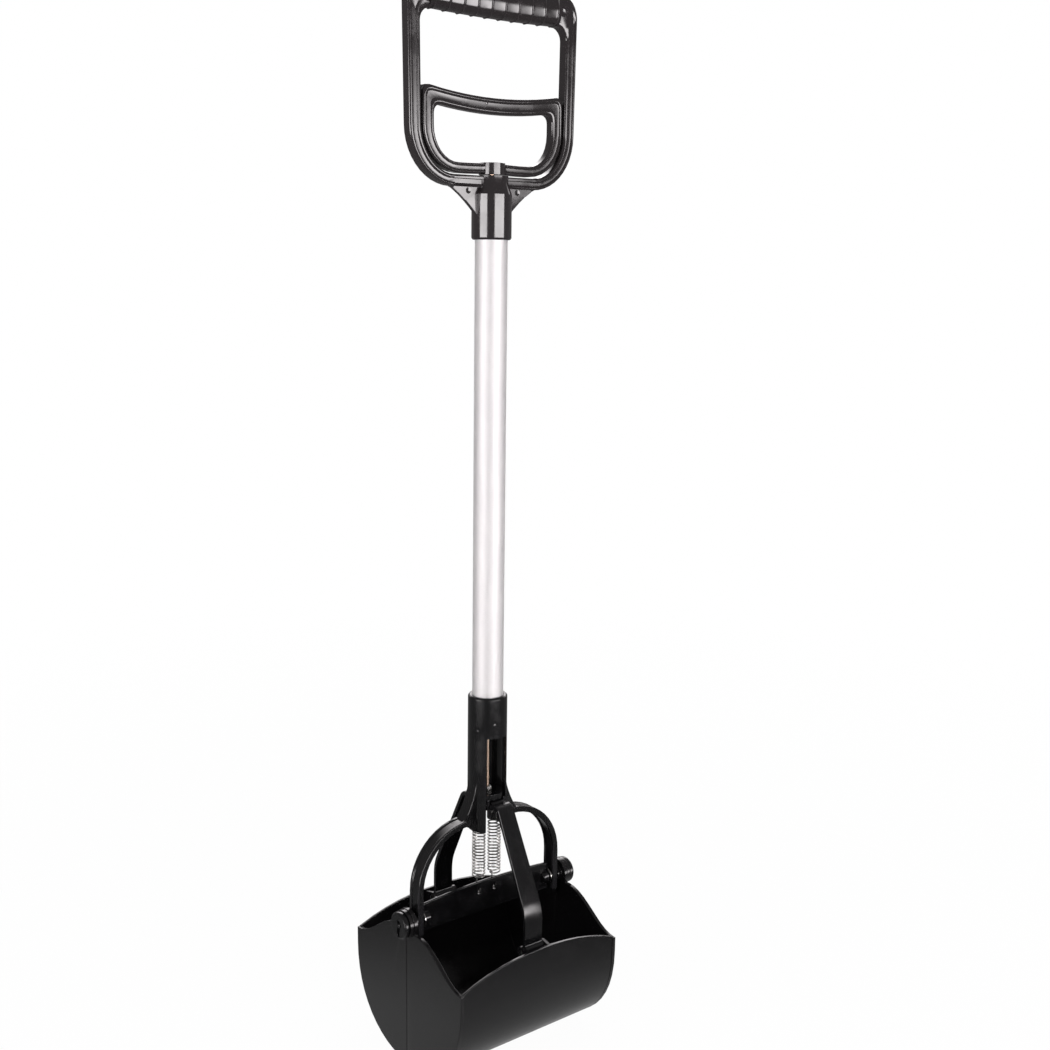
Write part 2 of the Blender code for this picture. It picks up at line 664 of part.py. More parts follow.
def trigger_half():
    """Inner and outer points from the middle of the bottom bar round to the middle of
    the top bar, on the right side."""
    pairs = []
    centre_x = TRIGGER_HALF_WIDTH - TRIGGER_CORNER_WIDTH
    for share in (0.0, 0.35, 0.7):
        lift = TRIGGER_HUMP * (1 - share / 0.7) ** 2
        pairs.append(((centre_x * share, TRIGGER_BOTTOM + TRIGGER_BOTTOM_BAR + lift),
                      (centre_x * share, TRIGGER_BOTTOM + lift)))
    rise_out = TRIGGER_SIDE_BOTTOM - TRIGGER_BOTTOM
    rise_in = rise_out - TRIGGER_BOTTOM_BAR
    steps = 8
    for i in range(steps + 1):
        angle = math.pi / 2 * (1 - i / steps)
        c, s = math.cos(angle), math.sin(angle)
        inner_width = TRIGGER_CORNER_WIDTH - TRIGGER_BAR_WIDTH
        pairs.append(((centre_x + inner_width * c, TRIGGER_SIDE_BOTTOM - rise_in * s),
                      (centre_x + TRIGGER_CORNER_WIDTH * c, TRIGGER_SIDE_BOTTOM - rise_out * s)))
    inner_side = TRIGGER_HALF_WIDTH - TRIGGER_BAR_WIDTH
    corner_x = inner_side - TRIGGER_INNER_RADIUS
    corner_z = trigger_top(corner_x) - TRIGGER_BAR_HEIGHT - TRIGGER_INNER_RADIUS
    edge = TRIGGER_BAR_HEIGHT / 4
    corner_out = [(TRIGGER_HALF_WIDTH, between(TRIGGER_SIDE_BOTTOM, TRIGGER_TOP, 0.5)),
                  (TRIGGER_HALF_WIDTH, trigger_top(TRIGGER_HALF_WIDTH) - 2 * edge),
                  (TRIGGER_HALF_WIDTH - edge / 2, trigger_top(TRIGGER_HALF_WIDTH) - edge / 2),
                  (TRIGGER_HALF_WIDTH - 2 * edge, trigger_top(TRIGGER_HALF_WIDTH - 2 * edge)),
                  (corner_x, trigger_top(corner_x))]
    corner_in = arc(TRIGGER_INNER_RADIUS, 0.0, 90.0, 4, (corner_x, corner_z))
    pairs += list(zip(corner_in, corner_out))
    for share in (0.8, 0.6, 0.4, 0.2):
        x = corner_x * share
        pairs.append(((x, trigger_top(x) - TRIGGER_BAR_HEIGHT), (x, trigger_top(x))))
    pairs.append(((0.0, trigger_top(0.0) - TRIGGER_BAR_HEIGHT), (0.0, trigger_top(0.0))))
    return pairs


def make_trigger(materials):
    right = trigger_half()
    left = [((-a[0], a[1]), (-b[0], b[1])) for a, b in right[1:-1]]
    section = channel_section(TRIGGER_DEPTH, TRIGGER_GROOVE, TRIGGER_GROOVE, (0.24, 0.76))
    loop = right + list(reversed(left))
    trigger = ribbon("trigger", loop, section, materials["handle"], closed_path=True)
    join(trigger, turned_z("trigger_boss", [(TRIGGER_BOSS_RADIUS, TRIGGER_BOSS_BOTTOM),
                                            (TRIGGER_BOSS_RADIUS, TRIGGER_BOSS_TOP)], count=28))
    bore = ROD_RADIUS + SEAT
    bore_ends = [(bore, TRIGGER_BOSS_BOTTOM - CUT_OVERRUN), (bore, ROD_TOP + SEAT)]
    cut(trigger, turned_z("trigger_bore", bore_ends, count=16))
    return trigger


SLIDER_RISE = 0.0042
SLIDER_HEIGHT = 0.0048
SLIDER_BOTTOM = LINK_PIN_HEIGHT + SLIDER_RISE
SLIDER_TOP = SLIDER_BOTTOM + SLIDER_HEIGHT
SLIDER_FLOOR = 0.0012
CHEEK_THICKNESS = 0.0024
CHEEK_INSIDE = SPRING_OFFSET - CHEEK_THICKNESS / 2
HOOK_DROP = 0.008
HOOK_TOP = LINK_PIN_HEIGHT - HOOK_DROP
HOOK_HOLE_RADIUS = 0.0017
CHEEK_BOTTOM = HOOK_TOP - 2 * HOOK_HOLE_RADIUS
CHEEK_WAIST = 0.0055
LINK_PIN_RADIUS = 0.0015
HOOK_RADIUS = 0.0025
NUT_RADIUS = 0.004
NUT_HEIGHT = 0.0032


def make_slider(materials):
    """Crosshead in the yoke: a round guide over two cheeks that hold the link pins."""
    slider = turned_z("slider", [(YOKE_BORE - RUN, SLIDER_BOTTOM), (YOKE_BORE - RUN, SLIDER_TOP)],
                      materials["yoke"], 36)
    reach = LINK_PIN_REACH + 2 * LINK_PIN_RADIUS
    foot = LINK_PIN_HEIGHT - 2 * LINK_PIN_RADIUS
    half = [(reach, SLIDER_BOTTOM + SLIDER_FLOOR), (reach, foot), (CHEEK_WAIST, foot - SLIDER_FLOOR),
            (CHEEK_WAIST - SLIDER_FLOOR, CHEEK_BOTTOM)]
    outline = half + [(-y, z) for y, z in reversed(half)]
    for side in (-1.0, 1.0):
        label = "left" if side < 0 else "right"
        low, high = sorted((side * CHEEK_INSIDE, side * (CHEEK_INSIDE + CHEEK_THICKNESS)))
        join(slider, prism_x(label + "_cheek", outline, low, high))
    span = CHEEK_INSIDE + CHEEK_THICKNESS + CUT_OVERRUN
    for side in (-1.0, 1.0):
        label = "front" if side < 0 else "rear"
        cut(slider, rod_x(label + "_link_hole", LINK_PIN_RADIUS + SEAT, -span, span,
                          (side * LINK_PIN_REACH, LINK_PIN_HEIGHT), count=12))
    cut(slider, rod_x("hook_holes", HOOK_HOLE_RADIUS, -span, span, (0.0, HOOK_TOP), count=12))
    bore = ROD_RADIUS + SEAT
    bore_ends = [(bore, SLIDER_BOTTOM + SLIDER_FLOOR), (bore, SLIDER_TOP + CUT_OVERRUN)]
    cut(slider, turned_z("slider_bore", bore_ends, count=16))
    return slider


def make_rod(materials):
    low = SLIDER_BOTTOM + SLIDER_FLOOR + SEAT
    tip = ROD_RADIUS / 4
    return turned_z("pull_rod", [(ROD_RADIUS - tip, low), (ROD_RADIUS, low + tip),
                                 (ROD_RADIUS, ROD_TOP - tip),
                                 (ROD_RADIUS - tip, ROD_TOP)], materials["rod"], 16)


def make_lock_nut(materials):
    low = SLIDER_TOP + SEAT
    nut_ends = [(NUT_RADIUS, low), (NUT_RADIUS, low + NUT_HEIGHT)]
    nut = turned_z("rod_lock_nut", nut_ends, materials["steel"], 6)
    bore = ROD_RADIUS + SEAT
    bore_ends = [(bore, low - CUT_OVERRUN), (bore, low + NUT_HEIGHT + CUT_OVERRUN)]
    cut(nut, turned_z("lock_nut_bore", bore_ends, count=16))
    return nut


# Straps and their pins

STRAP_TOP_WIDTH = 0.0152
TONGUE_WIDTH = 0.0116
EYE_WALL = 0.0014
EYE_PLAY = 0.0005
EYE_TRAVEL = 0.0056
KNUCKLE_RADIUS = 0.0043
BEND_TOP_RISE = 0.0025
BEND_TOP_REACH = 0.0225
BEND_LOW_HEIGHT = 0.009
STRAP_RIDGE = 0.0011
RIDGE_SHARES = (0.10, 0.80)


def rounded_path(corners, radii, steps=5):
    """A line through corners as (y, z), each inner corner eased by an arc-like curve."""
    points = [Vector(corners[0])]
    for before, corner, after, radius in zip(corners, corners[1:], corners[2:], radii):
        before, corner, after = Vector(before), Vector(corner), Vector(after)
        entry = corner + (before - corner).normalized() * radius
        leave = corner + (after - corner).normalized() * radius
        for i in range(steps + 1):
            t = i / steps
            points.append(entry * (1 - t) ** 2 + corner * 2 * t * (1 - t) + leave * t ** 2)
    points.append(Vector(corners[-1]))
    return points


def strap_path():
    tongue = LINK_PIN_REACH + 2 * LINK_PIN_RADIUS + 2 * RUN
    corners = [(tongue, LINK_PIN_HEIGHT), (BEND_TOP_REACH, LINK_PIN_HEIGHT + BEND_TOP_RISE),
               (CLEVIS_REACH, BEND_LOW_HEIGHT), (CLEVIS_REACH, -CLEVIS_DROP)]
    return rounded_path(corners, (BEND_TOP_REACH - tongue - STRAP_THICKNESS, BEND_LOW_HEIGHT))


def path_normals(points):
    normals = []
    for i in range(len(points)):
        along = (points[min(i + 1, len(points) - 1)] - points[max(i - 1, 0)]).normalized()
        normals.append(Vector((-along.y, along.x)))
    return normals


def make_strap(name, side, materials):
    """Flat link from the slider's pin, out over the slot and down to the jaw's clevis."""
    origin = HINGE + Vector((0.0, side * CLEVIS_REACH, -CLEVIS_DROP))
    points = strap_path()
    normals = path_normals(points)
    lengths = [0.0]
    for a, b in zip(points, points[1:]):
        lengths.append(lengths[-1] + (b - a).length)
    narrow = points[0].y
    ridge_start = lengths[-1] * RIDGE_SHARES[0]
    ridge_end = lengths[-1] * RIDGE_SHARES[1]
    rings = []
    for point, normal, length in zip(points, normals, lengths):
        width = between(STRAP_WIDTH, STRAP_TOP_WIDTH,
                        min(max((point.y - BEND_LOW_HEIGHT) / (narrow - BEND_LOW_HEIGHT), 0.0), 1.0)) / 2
        over = normal * STRAP_THICKNESS / 2
        on_ridge = min((length - ridge_start) / STRAP_WIDTH, (ridge_end - length) / STRAP_WIDTH, 1.0)
        ridge = over + normal * STRAP_RIDGE * max(on_ridge, 0.0)
        corners = ((-width, over), (0.0, ridge), (width, over), (width, -over), (-width, -over))
        rings.append([(x, side * (point.x + off.x), point.y + off.y) for x, off in corners])
    strap = loft(name, rings, materials["yoke"], origin=origin)

    eye_half = LINK_PIN_RADIUS + EYE_PLAY
    inner_end = LINK_PIN_REACH - EYE_TRAVEL
    outline = arc(eye_half + EYE_WALL, 90.0, 270.0, 10, (inner_end, LINK_PIN_HEIGHT))
    outline += arc(eye_half + EYE_WALL, -90.0, 90.0, 10, (LINK_PIN_REACH + 2 * EYE_WALL, LINK_PIN_HEIGHT))
    half_tongue = TONGUE_WIDTH / 2
    join(strap, prism_x(name + "_tongue", facing(outline, side), -half_tongue, half_tongue, origin=origin))
    join(strap, rod_x(name + "_knuckle", KNUCKLE_RADIUS, -STRAP_WIDTH / 2, STRAP_WIDTH / 2,
                      (side * CLEVIS_REACH, -CLEVIS_DROP), count=20, origin=origin))
    slot = arc(eye_half, 90.0, 270.0, 8, (inner_end, LINK_PIN_HEIGHT))
    slot += arc(eye_half, -90.0, 90.0, 8, (LINK_PIN_REACH, LINK_PIN_HEIGHT))
    cut(strap, prism_x(name + "_eye", facing(slot, side), -STRAP_WIDTH, STRAP_WIDTH, origin=origin))
    cut(strap, rod_x(name + "_pin_hole", CLEVIS_PIN_RADIUS + SEAT, -STRAP_WIDTH, STRAP_WIDTH,
                     (side * CLEVIS_REACH, -CLEVIS_DROP), origin=origin))
    return strap


def make_link_pin(name, side, stuff):
    """Steel pin that the strap's slotted eye hangs on."""
    half = CHEEK_INSIDE + CHEEK_THICKNESS
    return rod_x(name, LINK_PIN_RADIUS, -half, half, (side * LINK_PIN_REACH, LINK_PIN_HEIGHT), stuff, 16)


def make_clevis_pin(name, side, stuff):
    half = STRAP_WIDTH / 2 + 2 * SEAT + CLEVIS_LUG_THICKNESS
    return rod_x(name, CLEVIS_PIN_RADIUS, -half, half, (side * CLEVIS_REACH, -CLEVIS_DROP), stuff, 16)


# Hinge pins and their retainers

CAP_RADIUS = 0.011
CAP_THICKNESS = 0.0042
CAP_RECESS_RADIUS = 0.0046
CAP_RECESS_DEPTH = 0.0014
CAP_PEG_RADIUS = 0.0019
CAP_SLOT_WIDTH = 0.0030
RETAINER_RADIUS = 0.0068
RETAINER_THICKNESS = 0.001
PLATE_HUB_LENGTH = 0.0062
PLATE_HUB_FLOOR = 0.0015


def washer_outside():
    """The washer lies against the leg's boss, and the spring plate against the washer."""
    return ARCH_HALF_WIDTH - ARCH_THICKNESS - ARCH_GROOVE - SEAT


def plate_end():
    return washer_outside() - RETAINER_THICKNESS - SEAT


def pin_inner_end():
    return plate_end() - PLATE_HUB_LENGTH + PLATE_HUB_FLOOR


def cap_recess_outline():
    """Half-moon round the peg towards the front, running down into a slot."""
    half = CAP_SLOT_WIDTH / 2
    reach = CAP_RADIUS - CAP_THICKNESS / 4
    moon = arc(CAP_RECESS_RADIUS, 75.0, 255.0, 10)
    foot = [(-CAP_RECESS_RADIUS * 0.6, -reach + half), (half / 2, -reach + half / 2),
            (half, -CAP_RECESS_RADIUS)]
    return moon + foot + [(CAP_PEG_RADIUS / 2, 0.0)]


def make_hinge_pin(name, side, stuff):
    """Black pin with a round cap outside, a hooked recess in the cap and a long stem."""
    stem = PIN_STEM_DIAMETER / 2
    start = HALF_LENGTH + EAR_GAP + OUTER_EAR_THICKNESS + RUN
    stop = start + CAP_THICKNESS
    soft = CAP_THICKNESS / 4
    lead = RETAINER_THICKNESS / 2
    profile = [(stem - lead, pin_inner_end()), (stem, pin_inner_end() + lead), (stem, start),
               (CAP_RADIUS - soft / 2, start), (CAP_RADIUS, start + soft), (CAP_RADIUS, stop - soft),
               (CAP_RADIUS - soft, stop)]
    pin = turned_x(name, profile, side, stuff)
    floor = stop - CAP_RECESS_DEPTH
    low, high = sorted((side * floor, side * (stop + CUT_OVERRUN)))
    cut(pin, prism_x(name + "_recess", cap_recess_outline(), low, high))
    peg = [(CAP_PEG_RADIUS, floor - soft), (CAP_PEG_RADIUS, stop - soft / 2), (CAP_PEG_RADIUS / 2, stop)]
    join(pin, turned_x(name + "_peg", peg, side, count=16))
    return pin


def make_retainer(name, side, stuff):
    """Push-on washer that grips a hinge pin between the leg and the spring plate."""
    high = washer_outside()
    low = high - RETAINER_THICKNESS
    ring = turned_x(name, [(RETAINER_RADIUS, low), (RETAINER_RADIUS, high)], side, stuff, 24)
    bore = PIN_STEM_DIAMETER / 2 + SEAT
    bore_ends = [(bore, low - CUT_OVERRUN), (bore, high + CUT_OVERRUN)]
    cut(ring, turned_x(name + "_bore", bore_ends, side, count=20))
    return ring


# Spring plate and springs

PLATE_TOP = 0.0121
PLATE_CROWN = 0.0032
PLATE_BOTTOM = -0.011
PLATE_THICKNESS = 0.0024
HOOK_BOTTOM = 0.006
COIL_BOTTOM = 0.0205
COIL_DROP = 0.0205
COIL_TOP = LINK_PIN_HEIGHT - COIL_DROP
COIL_STEPS = 8
HOOK_TAIL = 0.0015


def make_spring_plate(materials):
    """Cross plate between the legs, hung on both hinge pins, with two holes for hooks."""
    half = plate_end()
    thin = PLATE_THICKNESS / 2
    edge = thin / 2
    steps = 12
    rings = []
    for i in range(steps + 1):
        x = between(-half, half, i / steps)
        top = PLATE_TOP + PLATE_CROWN * (1 - (x / half) ** 2)
        rings.append([(x, -thin, PLATE_BOTTOM), (x, thin, PLATE_BOTTOM),
                      (x, thin, top - edge), (x, edge, top),
                      (x, -edge, top), (x, -thin, top - edge)])
    plate = loft("spring_plate", rings, materials["yoke"])
    for side in (-1.0, 1.0):
        label = "left" if side < 0 else "right"
        hub = PIN_STEM_DIAMETER / 2 + PLATE_THICKNESS / 2
        hub_ends = [(hub - PLATE_HUB_FLOOR / 2, half - PLATE_HUB_LENGTH),
                    (hub, half - PLATE_HUB_LENGTH + PLATE_HUB_FLOOR / 2), (hub, half - SEAT / 2)]
        join(plate, turned_x(label + "_plate_hub", hub_ends, side, count=24))
        bore = PIN_STEM_DIAMETER / 2 + SEAT
        floor = pin_inner_end() - SEAT
        bore_ends = [(bore, floor), (bore, half + CUT_OVERRUN)]
        cut(plate, turned_x(label + "_plate_bore", bore_ends, side, count=20))
        hole = [(x + side * SPRING_OFFSET, z + HOOK_BOTTOM) for x, z in circle(HOOK_HOLE_RADIUS, 12)]
        cut(plate, prism_y(label + "_hook_hole", hole, -PLATE_THICKNESS, PLATE_THICKNESS))
    return plate


def spring_points(side):
    """Wire of one extension spring, from the free end of the lower hook to the upper's."""
    mean = (SPRING_DIAMETER - SPRING_WIRE) / 2
    low_centre = HOOK_BOTTOM + HOOK_RADIUS
    high_centre = HOOK_TOP - HOOK_RADIUS
    points = [(0.0, -HOOK_RADIUS, low_centre + HOOK_TAIL)]
    points += [(0.0, y, z + low_centre) for y, z in arc(HOOK_RADIUS, 180.0, 360.0, 6)]
    points.append((0.0, HOOK_RADIUS, between(low_centre, COIL_BOTTOM, 0.7)))
    lead = COIL_STEPS // 2
    count = SPRING_TURNS * COIL_STEPS + 3 * COIL_STEPS // 4
    for i in range(-lead, count + lead + 1):
        drawn_in = max(-i / lead, (i - count) / lead, 0.0)
        radius = between(mean, HOOK_RADIUS, drawn_in ** 2 * (3 - 2 * drawn_in))
        angle = math.pi / 2 + 2 * math.pi * (i + lead) / COIL_STEPS
        height = between(COIL_BOTTOM, COIL_TOP, i / count)
        points.append((radius * math.cos(angle), radius * math.sin(angle), height))
    points += [(x, 0.0, z + high_centre) for x, z in arc(HOOK_RADIUS, 0.0, 180.0, 6)]
    points.append((-HOOK_RADIUS, 0.0, high_centre - HOOK_TAIL))
    return [(side * (SPRING_OFFSET + x), y, z) for x, y, z in points]


def least_gap(points, diameter):
    """Smallest space between parts of one wire that lie over three diameters apart on it."""
    dense = []
    for a, b in zip(points, points[1:]):
        a, b = np.array(a), np.array(b)
        count = max(int(np.linalg.norm(b - a) / (diameter / 3)), 1)
        dense += [a + (b - a) * k / count for k in range(count)]
    dense = np.array(dense)
    along = np.concatenate([[0.0], np.cumsum(np.linalg.norm(np.diff(dense, axis=0), axis=1))])
    apart = np.linalg.norm(dense[:, None] - dense[None], axis=2)
    far = np.abs(along[:, None] - along[None]) > 3 * diameter
    return float(apart[far].min() - diameter)


def make_spring(name, side, stuff):
    points = spring_points(side)
    curve = bpy.data.curves.new(name, 'CURVE')
    curve.dimensions = '3D'
    curve.bevel_depth = SPRING_WIRE / 2
    curve.bevel_resolution = 1
    curve.use_fill_caps = True
    wire = curve.splines.new('POLY')
    wire.points.add(len(points) - 1)
    for knot, point in zip(wire.points, points):
        knot.co = (*point, 1.0)
    curve.materials.append(stuff)
    spring = bpy.data.objects.new(name, curve)
    bpy.context.collection.objects.link(spring)
    spring.location = HINGE
    print(name, "least gap to itself: %.2f mm" % (1000 * least_gap(points, SPRING_WIRE)))
    return spring


# Assembly

def carrier(name, origin, children):
    """An empty on a moving body's axis that carries the body's pieces."""
    empty = bpy.data.objects.new(name, None)
    bpy.context.collection.objects.link(empty)
    empty.location = origin
    for child in children:
        child.parent = empty
        child.matrix_parent_inverse = Matrix.Translation(-origin)


def main():
    clear_scene()
    materials = make_materials()
    make_handle(materials)
    make_tube(materials)
    make_yoke(materials)
    make_spring_plate(materials)
    for side, label in ((-1.0, "left"), (1.0, "right")):
        make_hinge_pin(label + "_hinge_pin", side, materials["yoke"])
        make_retainer(label + "_pin_retainer", side, materials["steel"])
        make_spring(label + "_spring", side, materials["steel"])
    puller = [make_trigger(materials), make_rod(materials)]
    puller += [make_slider(materials), make_lock_nut(materials)]
    for side, label in ((-1.0, "front"), (1.0, "rear")):
        make_jaw(label + "_jaw", side, label == "front", materials["jaw"])
        make_strap(label + "_strap", side, materials)
        puller.append(make_link_pin(label + "_link_pin", side, materials["steel"]))
        make_clevis_pin(label + "_clevis_pin", side, materials["steel"])
    carrier("puller", HINGE, puller)


main()
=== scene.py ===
"""Pooper scooper: finishes, rounded edges, wound springs and small moulded detail."""
import math

import bmesh
import bpy
from mathutils import Matrix, Vector
from mathutils.geometry import intersect_point_line
from mathutils.kdtree import KDTree


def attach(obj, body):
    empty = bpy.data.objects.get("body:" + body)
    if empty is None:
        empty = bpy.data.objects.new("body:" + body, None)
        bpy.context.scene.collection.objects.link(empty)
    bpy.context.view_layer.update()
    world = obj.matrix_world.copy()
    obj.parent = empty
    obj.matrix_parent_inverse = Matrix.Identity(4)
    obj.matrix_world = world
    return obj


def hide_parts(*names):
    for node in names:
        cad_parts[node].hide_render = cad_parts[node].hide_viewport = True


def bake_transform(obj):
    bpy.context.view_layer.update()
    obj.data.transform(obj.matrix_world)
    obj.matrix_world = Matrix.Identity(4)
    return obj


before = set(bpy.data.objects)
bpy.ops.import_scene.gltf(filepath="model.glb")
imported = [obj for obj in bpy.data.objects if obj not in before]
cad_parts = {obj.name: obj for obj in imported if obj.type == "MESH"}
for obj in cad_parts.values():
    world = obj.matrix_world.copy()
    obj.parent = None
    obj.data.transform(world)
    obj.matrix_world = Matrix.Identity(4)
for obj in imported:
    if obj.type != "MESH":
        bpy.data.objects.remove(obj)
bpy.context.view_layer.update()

SCENE = bpy.context.scene
MM = 0.001
SIDES = ((-1.0, "left"), (1.0, "right"))


# Camera

CAMERA_PLACE = Vector((-0.6494, -0.8424, 0.6341))
CAMERA_YAW, CAMERA_PITCH, CAMERA_ROLL = (math.radians(a) for a in (-39.151, 10.665, 0.745))
CAMERA_LENS, CAMERA_SENSOR = 47.19, 36.0
TO_CAMERA = Vector((math.sin(CAMERA_YAW), -math.cos(CAMERA_YAW), 0.0))
TO_RIGHT = Vector((math.cos(CAMERA_YAW), math.sin(CAMERA_YAW), 0.0))


def add_camera():
    """The photo's camera."""
    level = math.cos(CAMERA_PITCH)
    ahead = Vector((-math.sin(CAMERA_YAW) * level, math.cos(CAMERA_YAW) * level,
                    -math.sin(CAMERA_PITCH)))
    up = TO_RIGHT.cross(ahead)
    cosine, sine = math.cos(CAMERA_ROLL), math.sin(CAMERA_ROLL)
    axes = Matrix((cosine * TO_RIGHT + sine * up, cosine * up - sine * TO_RIGHT, -ahead))
    place = axes.transposed().to_4x4()
    place.translation = CAMERA_PLACE
    data = bpy.data.cameras.new("camera")
    data.lens = CAMERA_LENS
    data.sensor_width = CAMERA_SENSOR
    camera = bpy.data.objects.new("camera", data)
    SCENE.collection.objects.link(camera)
    camera.matrix_world = place
    SCENE.camera = camera


# Node helpers

# A mix node's colour sockets are reached by number, because its sockets share their names
MIX_FACTOR, MIX_FIRST, MIX_SECOND, MIX_RESULT = 0, 6, 7, 2


def node(tree, kind, **settings):
    made = tree.nodes.new(kind)
    for name, value in settings.items():
        setattr(made, name, value)
    return made


def fill(socket, value):
    """Sets a socket to a value, or joins it to another socket."""
    if isinstance(value, bpy.types.NodeSocket):
        socket.id_data.links.new(value, socket)
    else:
        socket.default_value = value


def math_node(tree, operation, a, b=0.0, clamp=False):
    made = node(tree, "ShaderNodeMath", operation=operation, use_clamp=clamp)
    fill(made.inputs[0], a)
    fill(made.inputs[1], b)
    return made.outputs[0]


def product(tree, *factors):
    """All the factors multiplied, in their order."""
    result = factors[0]
    for factor in factors[1:]:
        result = math_node(tree, "MULTIPLY", result, factor)
    return result


def split(tree, vector):
    """A vector's X, Y and Z."""
    made = node(tree, "ShaderNodeSeparateXYZ")
    fill(made.inputs[0], vector)
    return made.outputs


def noise(tree, vector, scale, detail=2.0, roughness=0.5):
    made = node(tree, "ShaderNodeTexNoise")
    fill(made.inputs["Vector"], vector)
    fill(made.inputs["Scale"], scale)
    made.inputs["Detail"].default_value = detail
    made.inputs["Roughness"].default_value = roughness
    return made.outputs["Fac"]


def remap(tree, value, low, high, to_low=0.0, to_high=1.0):
    """A value eased from one range to another; low may be the larger end."""
    made = node(tree, "ShaderNodeMapRange", interpolation_type='SMOOTHSTEP')
    fill(made.inputs["Value"], value)
    for name, number in (("From Min", low), ("From Max", high), ("To Min", to_low), ("To Max", to_high)):
        fill(made.inputs[name], number)
    return made.outputs["Result"]


def mix_colour(tree, factor, first, second):
    made = node(tree, "ShaderNodeMix", data_type='RGBA')
    fill(made.inputs[MIX_FACTOR], factor)
    fill(made.inputs[MIX_FIRST], first)
    fill(made.inputs[MIX_SECOND], second)
    return made.outputs[MIX_RESULT]


def mix_shader(tree, factor, first, second):
    made = node(tree, "ShaderNodeMixShader")
    for socket, value in zip(made.inputs, (factor, first, second)):
        fill(socket, value)
    return made.outputs[0]


def object_place(tree):
    return node(tree, "ShaderNodeTexCoord").outputs["Object"]


def group(name, inputs, outputs):
    """An empty shader group with named number sockets."""
    tree = bpy.data.node_groups.new(name, "ShaderNodeTree")
    for label, value in inputs:
        socket = tree.interface.new_socket(label, in_out='INPUT', socket_type='NodeSocketFloat')
        socket.default_value = value
    for label in outputs:
        tree.interface.new_socket(label, in_out='OUTPUT', socket_type='NodeSocketFloat')
    start = tree.nodes.new("NodeGroupInput")
    end = tree.nodes.new("NodeGroupOutput")
    return tree, start.outputs, end.inputs


def use_group(tree, name, **values):
    made = node(tree, "ShaderNodeGroup", node_tree=bpy.data.node_groups[name])
    for label, value in values.items():
        fill(made.inputs[label.replace("_", " ")], value)
    return made.outputs


# Shared effects

# Noise scales are in waves per metre; a range is what a noise is stretched from
WAVE_SCALE = 24.0
SMEAR_SCALE, SMEAR_RANGE = 62.0, (0.36, 0.68)
WEAR_SCALE = 140.0
SPECK_SCALE, SPECK_RANGE = 900.0, (0.46, 0.7)
DUSTY_SLOPE = (0.25, 1.0)
CLOUD_SCALE, CLOUD_RANGE = 30.0, (0.35, 0.7)


def build_moulded_skin():
    """Fine spark-eroded grain over faint sink waves, as on injection-moulded plastic."""
    tree, given, out = group("moulded_skin", [("Grain Scale", 2600.0), ("Grain", 0.5), ("Waves", 0.5)],
                             ["Height", "Gloss"])
    place = object_place(tree)
    grain = noise(tree, place, given["Grain Scale"], detail=3.0, roughness=0.6)
    waves = noise(tree, place, WAVE_SCALE, detail=1.0)
    smears = noise(tree, place, SMEAR_SCALE, detail=4.0, roughness=0.62)
    high = product(tree, grain, given["Grain"])
    slow = product(tree, waves, given["Waves"])
    fill(out["Height"], math_node(tree, "ADD", high, slow))
    fill(out["Gloss"], remap(tree, smears, *SMEAR_RANGE))


def build_edge_wear_and_highlight():
    """Edges painted paler, partly as wear polished by handling and partly as a painted highlight along
    the rims, broken up so that they don't look drawn.
    """
    tree, given, out = group("edge_wear_and_highlight", [("Start", 0.52), ("End", 0.62), ("Breakup", 0.5)], ["Edge"])
    sharp = node(tree, "ShaderNodeNewGeometry").outputs["Pointiness"]
    rim = remap(tree, sharp, given["Start"], given["End"])
    patches = noise(tree, object_place(tree), WEAR_SCALE, detail=3.0)
    kept = math_node(tree, "SUBTRACT", 1.0, product(tree, patches, given["Breakup"]))
    fill(out["Edge"], math_node(tree, "MULTIPLY", rim, kept, clamp=True))


def build_dust():
    """Thin dust that settles on faces turned upwards."""
    tree, given, out = group("settled_dust", [("Amount", 0.2)], ["Mask"])
    facing = split(tree, node(tree, "ShaderNodeNewGeometry").outputs["Normal"])
    up = remap(tree, facing["Z"], *DUSTY_SLOPE)
    grains = noise(tree, object_place(tree), SPECK_SCALE, detail=3.0, roughness=0.7)
    fill(out["Mask"], product(tree, up, remap(tree, grains, *SPECK_RANGE), given["Amount"]))


def build_drawn_lines():
    """Long fine lines along Z, left by drawing a tube or a rod."""
    tree, given, out = group("drawn_lines", [("Fineness", 2200.0), ("Length", 9.0)], ["Lines", "Cloud"])
    place = object_place(tree)
    parts = split(tree, place)
    stretched = node(tree, "ShaderNodeCombineXYZ")
    for axis, amount in (("X", "Fineness"), ("Y", "Fineness"), ("Z", "Length")):
        fill(stretched.inputs[axis], product(tree, parts[axis], given[amount]))
    fill(out["Lines"], noise(tree, stretched.outputs[0], 1.0, roughness=0.6))
    clouds = noise(tree, place, CLOUD_SCALE, detail=3.0)
    fill(out["Cloud"], remap(tree, clouds, *CLOUD_RANGE))


# Materials

SKIN_DEPTH = 0.0012 * MM
DUST_COLOUR = (0.20, 0.19, 0.19, 1.0)
DUST_ROUGHNESS = 0.5
PLASTIC_SMEAR = (-0.04, 0.06)
METAL_SMEAR = (-0.05, 0.07)
LINE_RANGE = (0.3, 0.7)

MATERIALS = {}


def start_material(name, roughness, metallic):
    made = bpy.data.materials.new(name)
    made.use_nodes = True
    tree = made.node_tree
    shader = tree.nodes["Principled BSDF"]
    shader.inputs["Roughness"].default_value = roughness
    shader.inputs["Metallic"].default_value = metallic
    return made, tree, shader


def bump(tree, shader, height, distance):
    made = node(tree, "ShaderNodeBump")
    made.inputs["Strength"].default_value = 1.0
    made.inputs["Distance"].default_value = distance
    fill(made.inputs["Height"], height)
    fill(shader.inputs["Normal"], made.outputs[0])


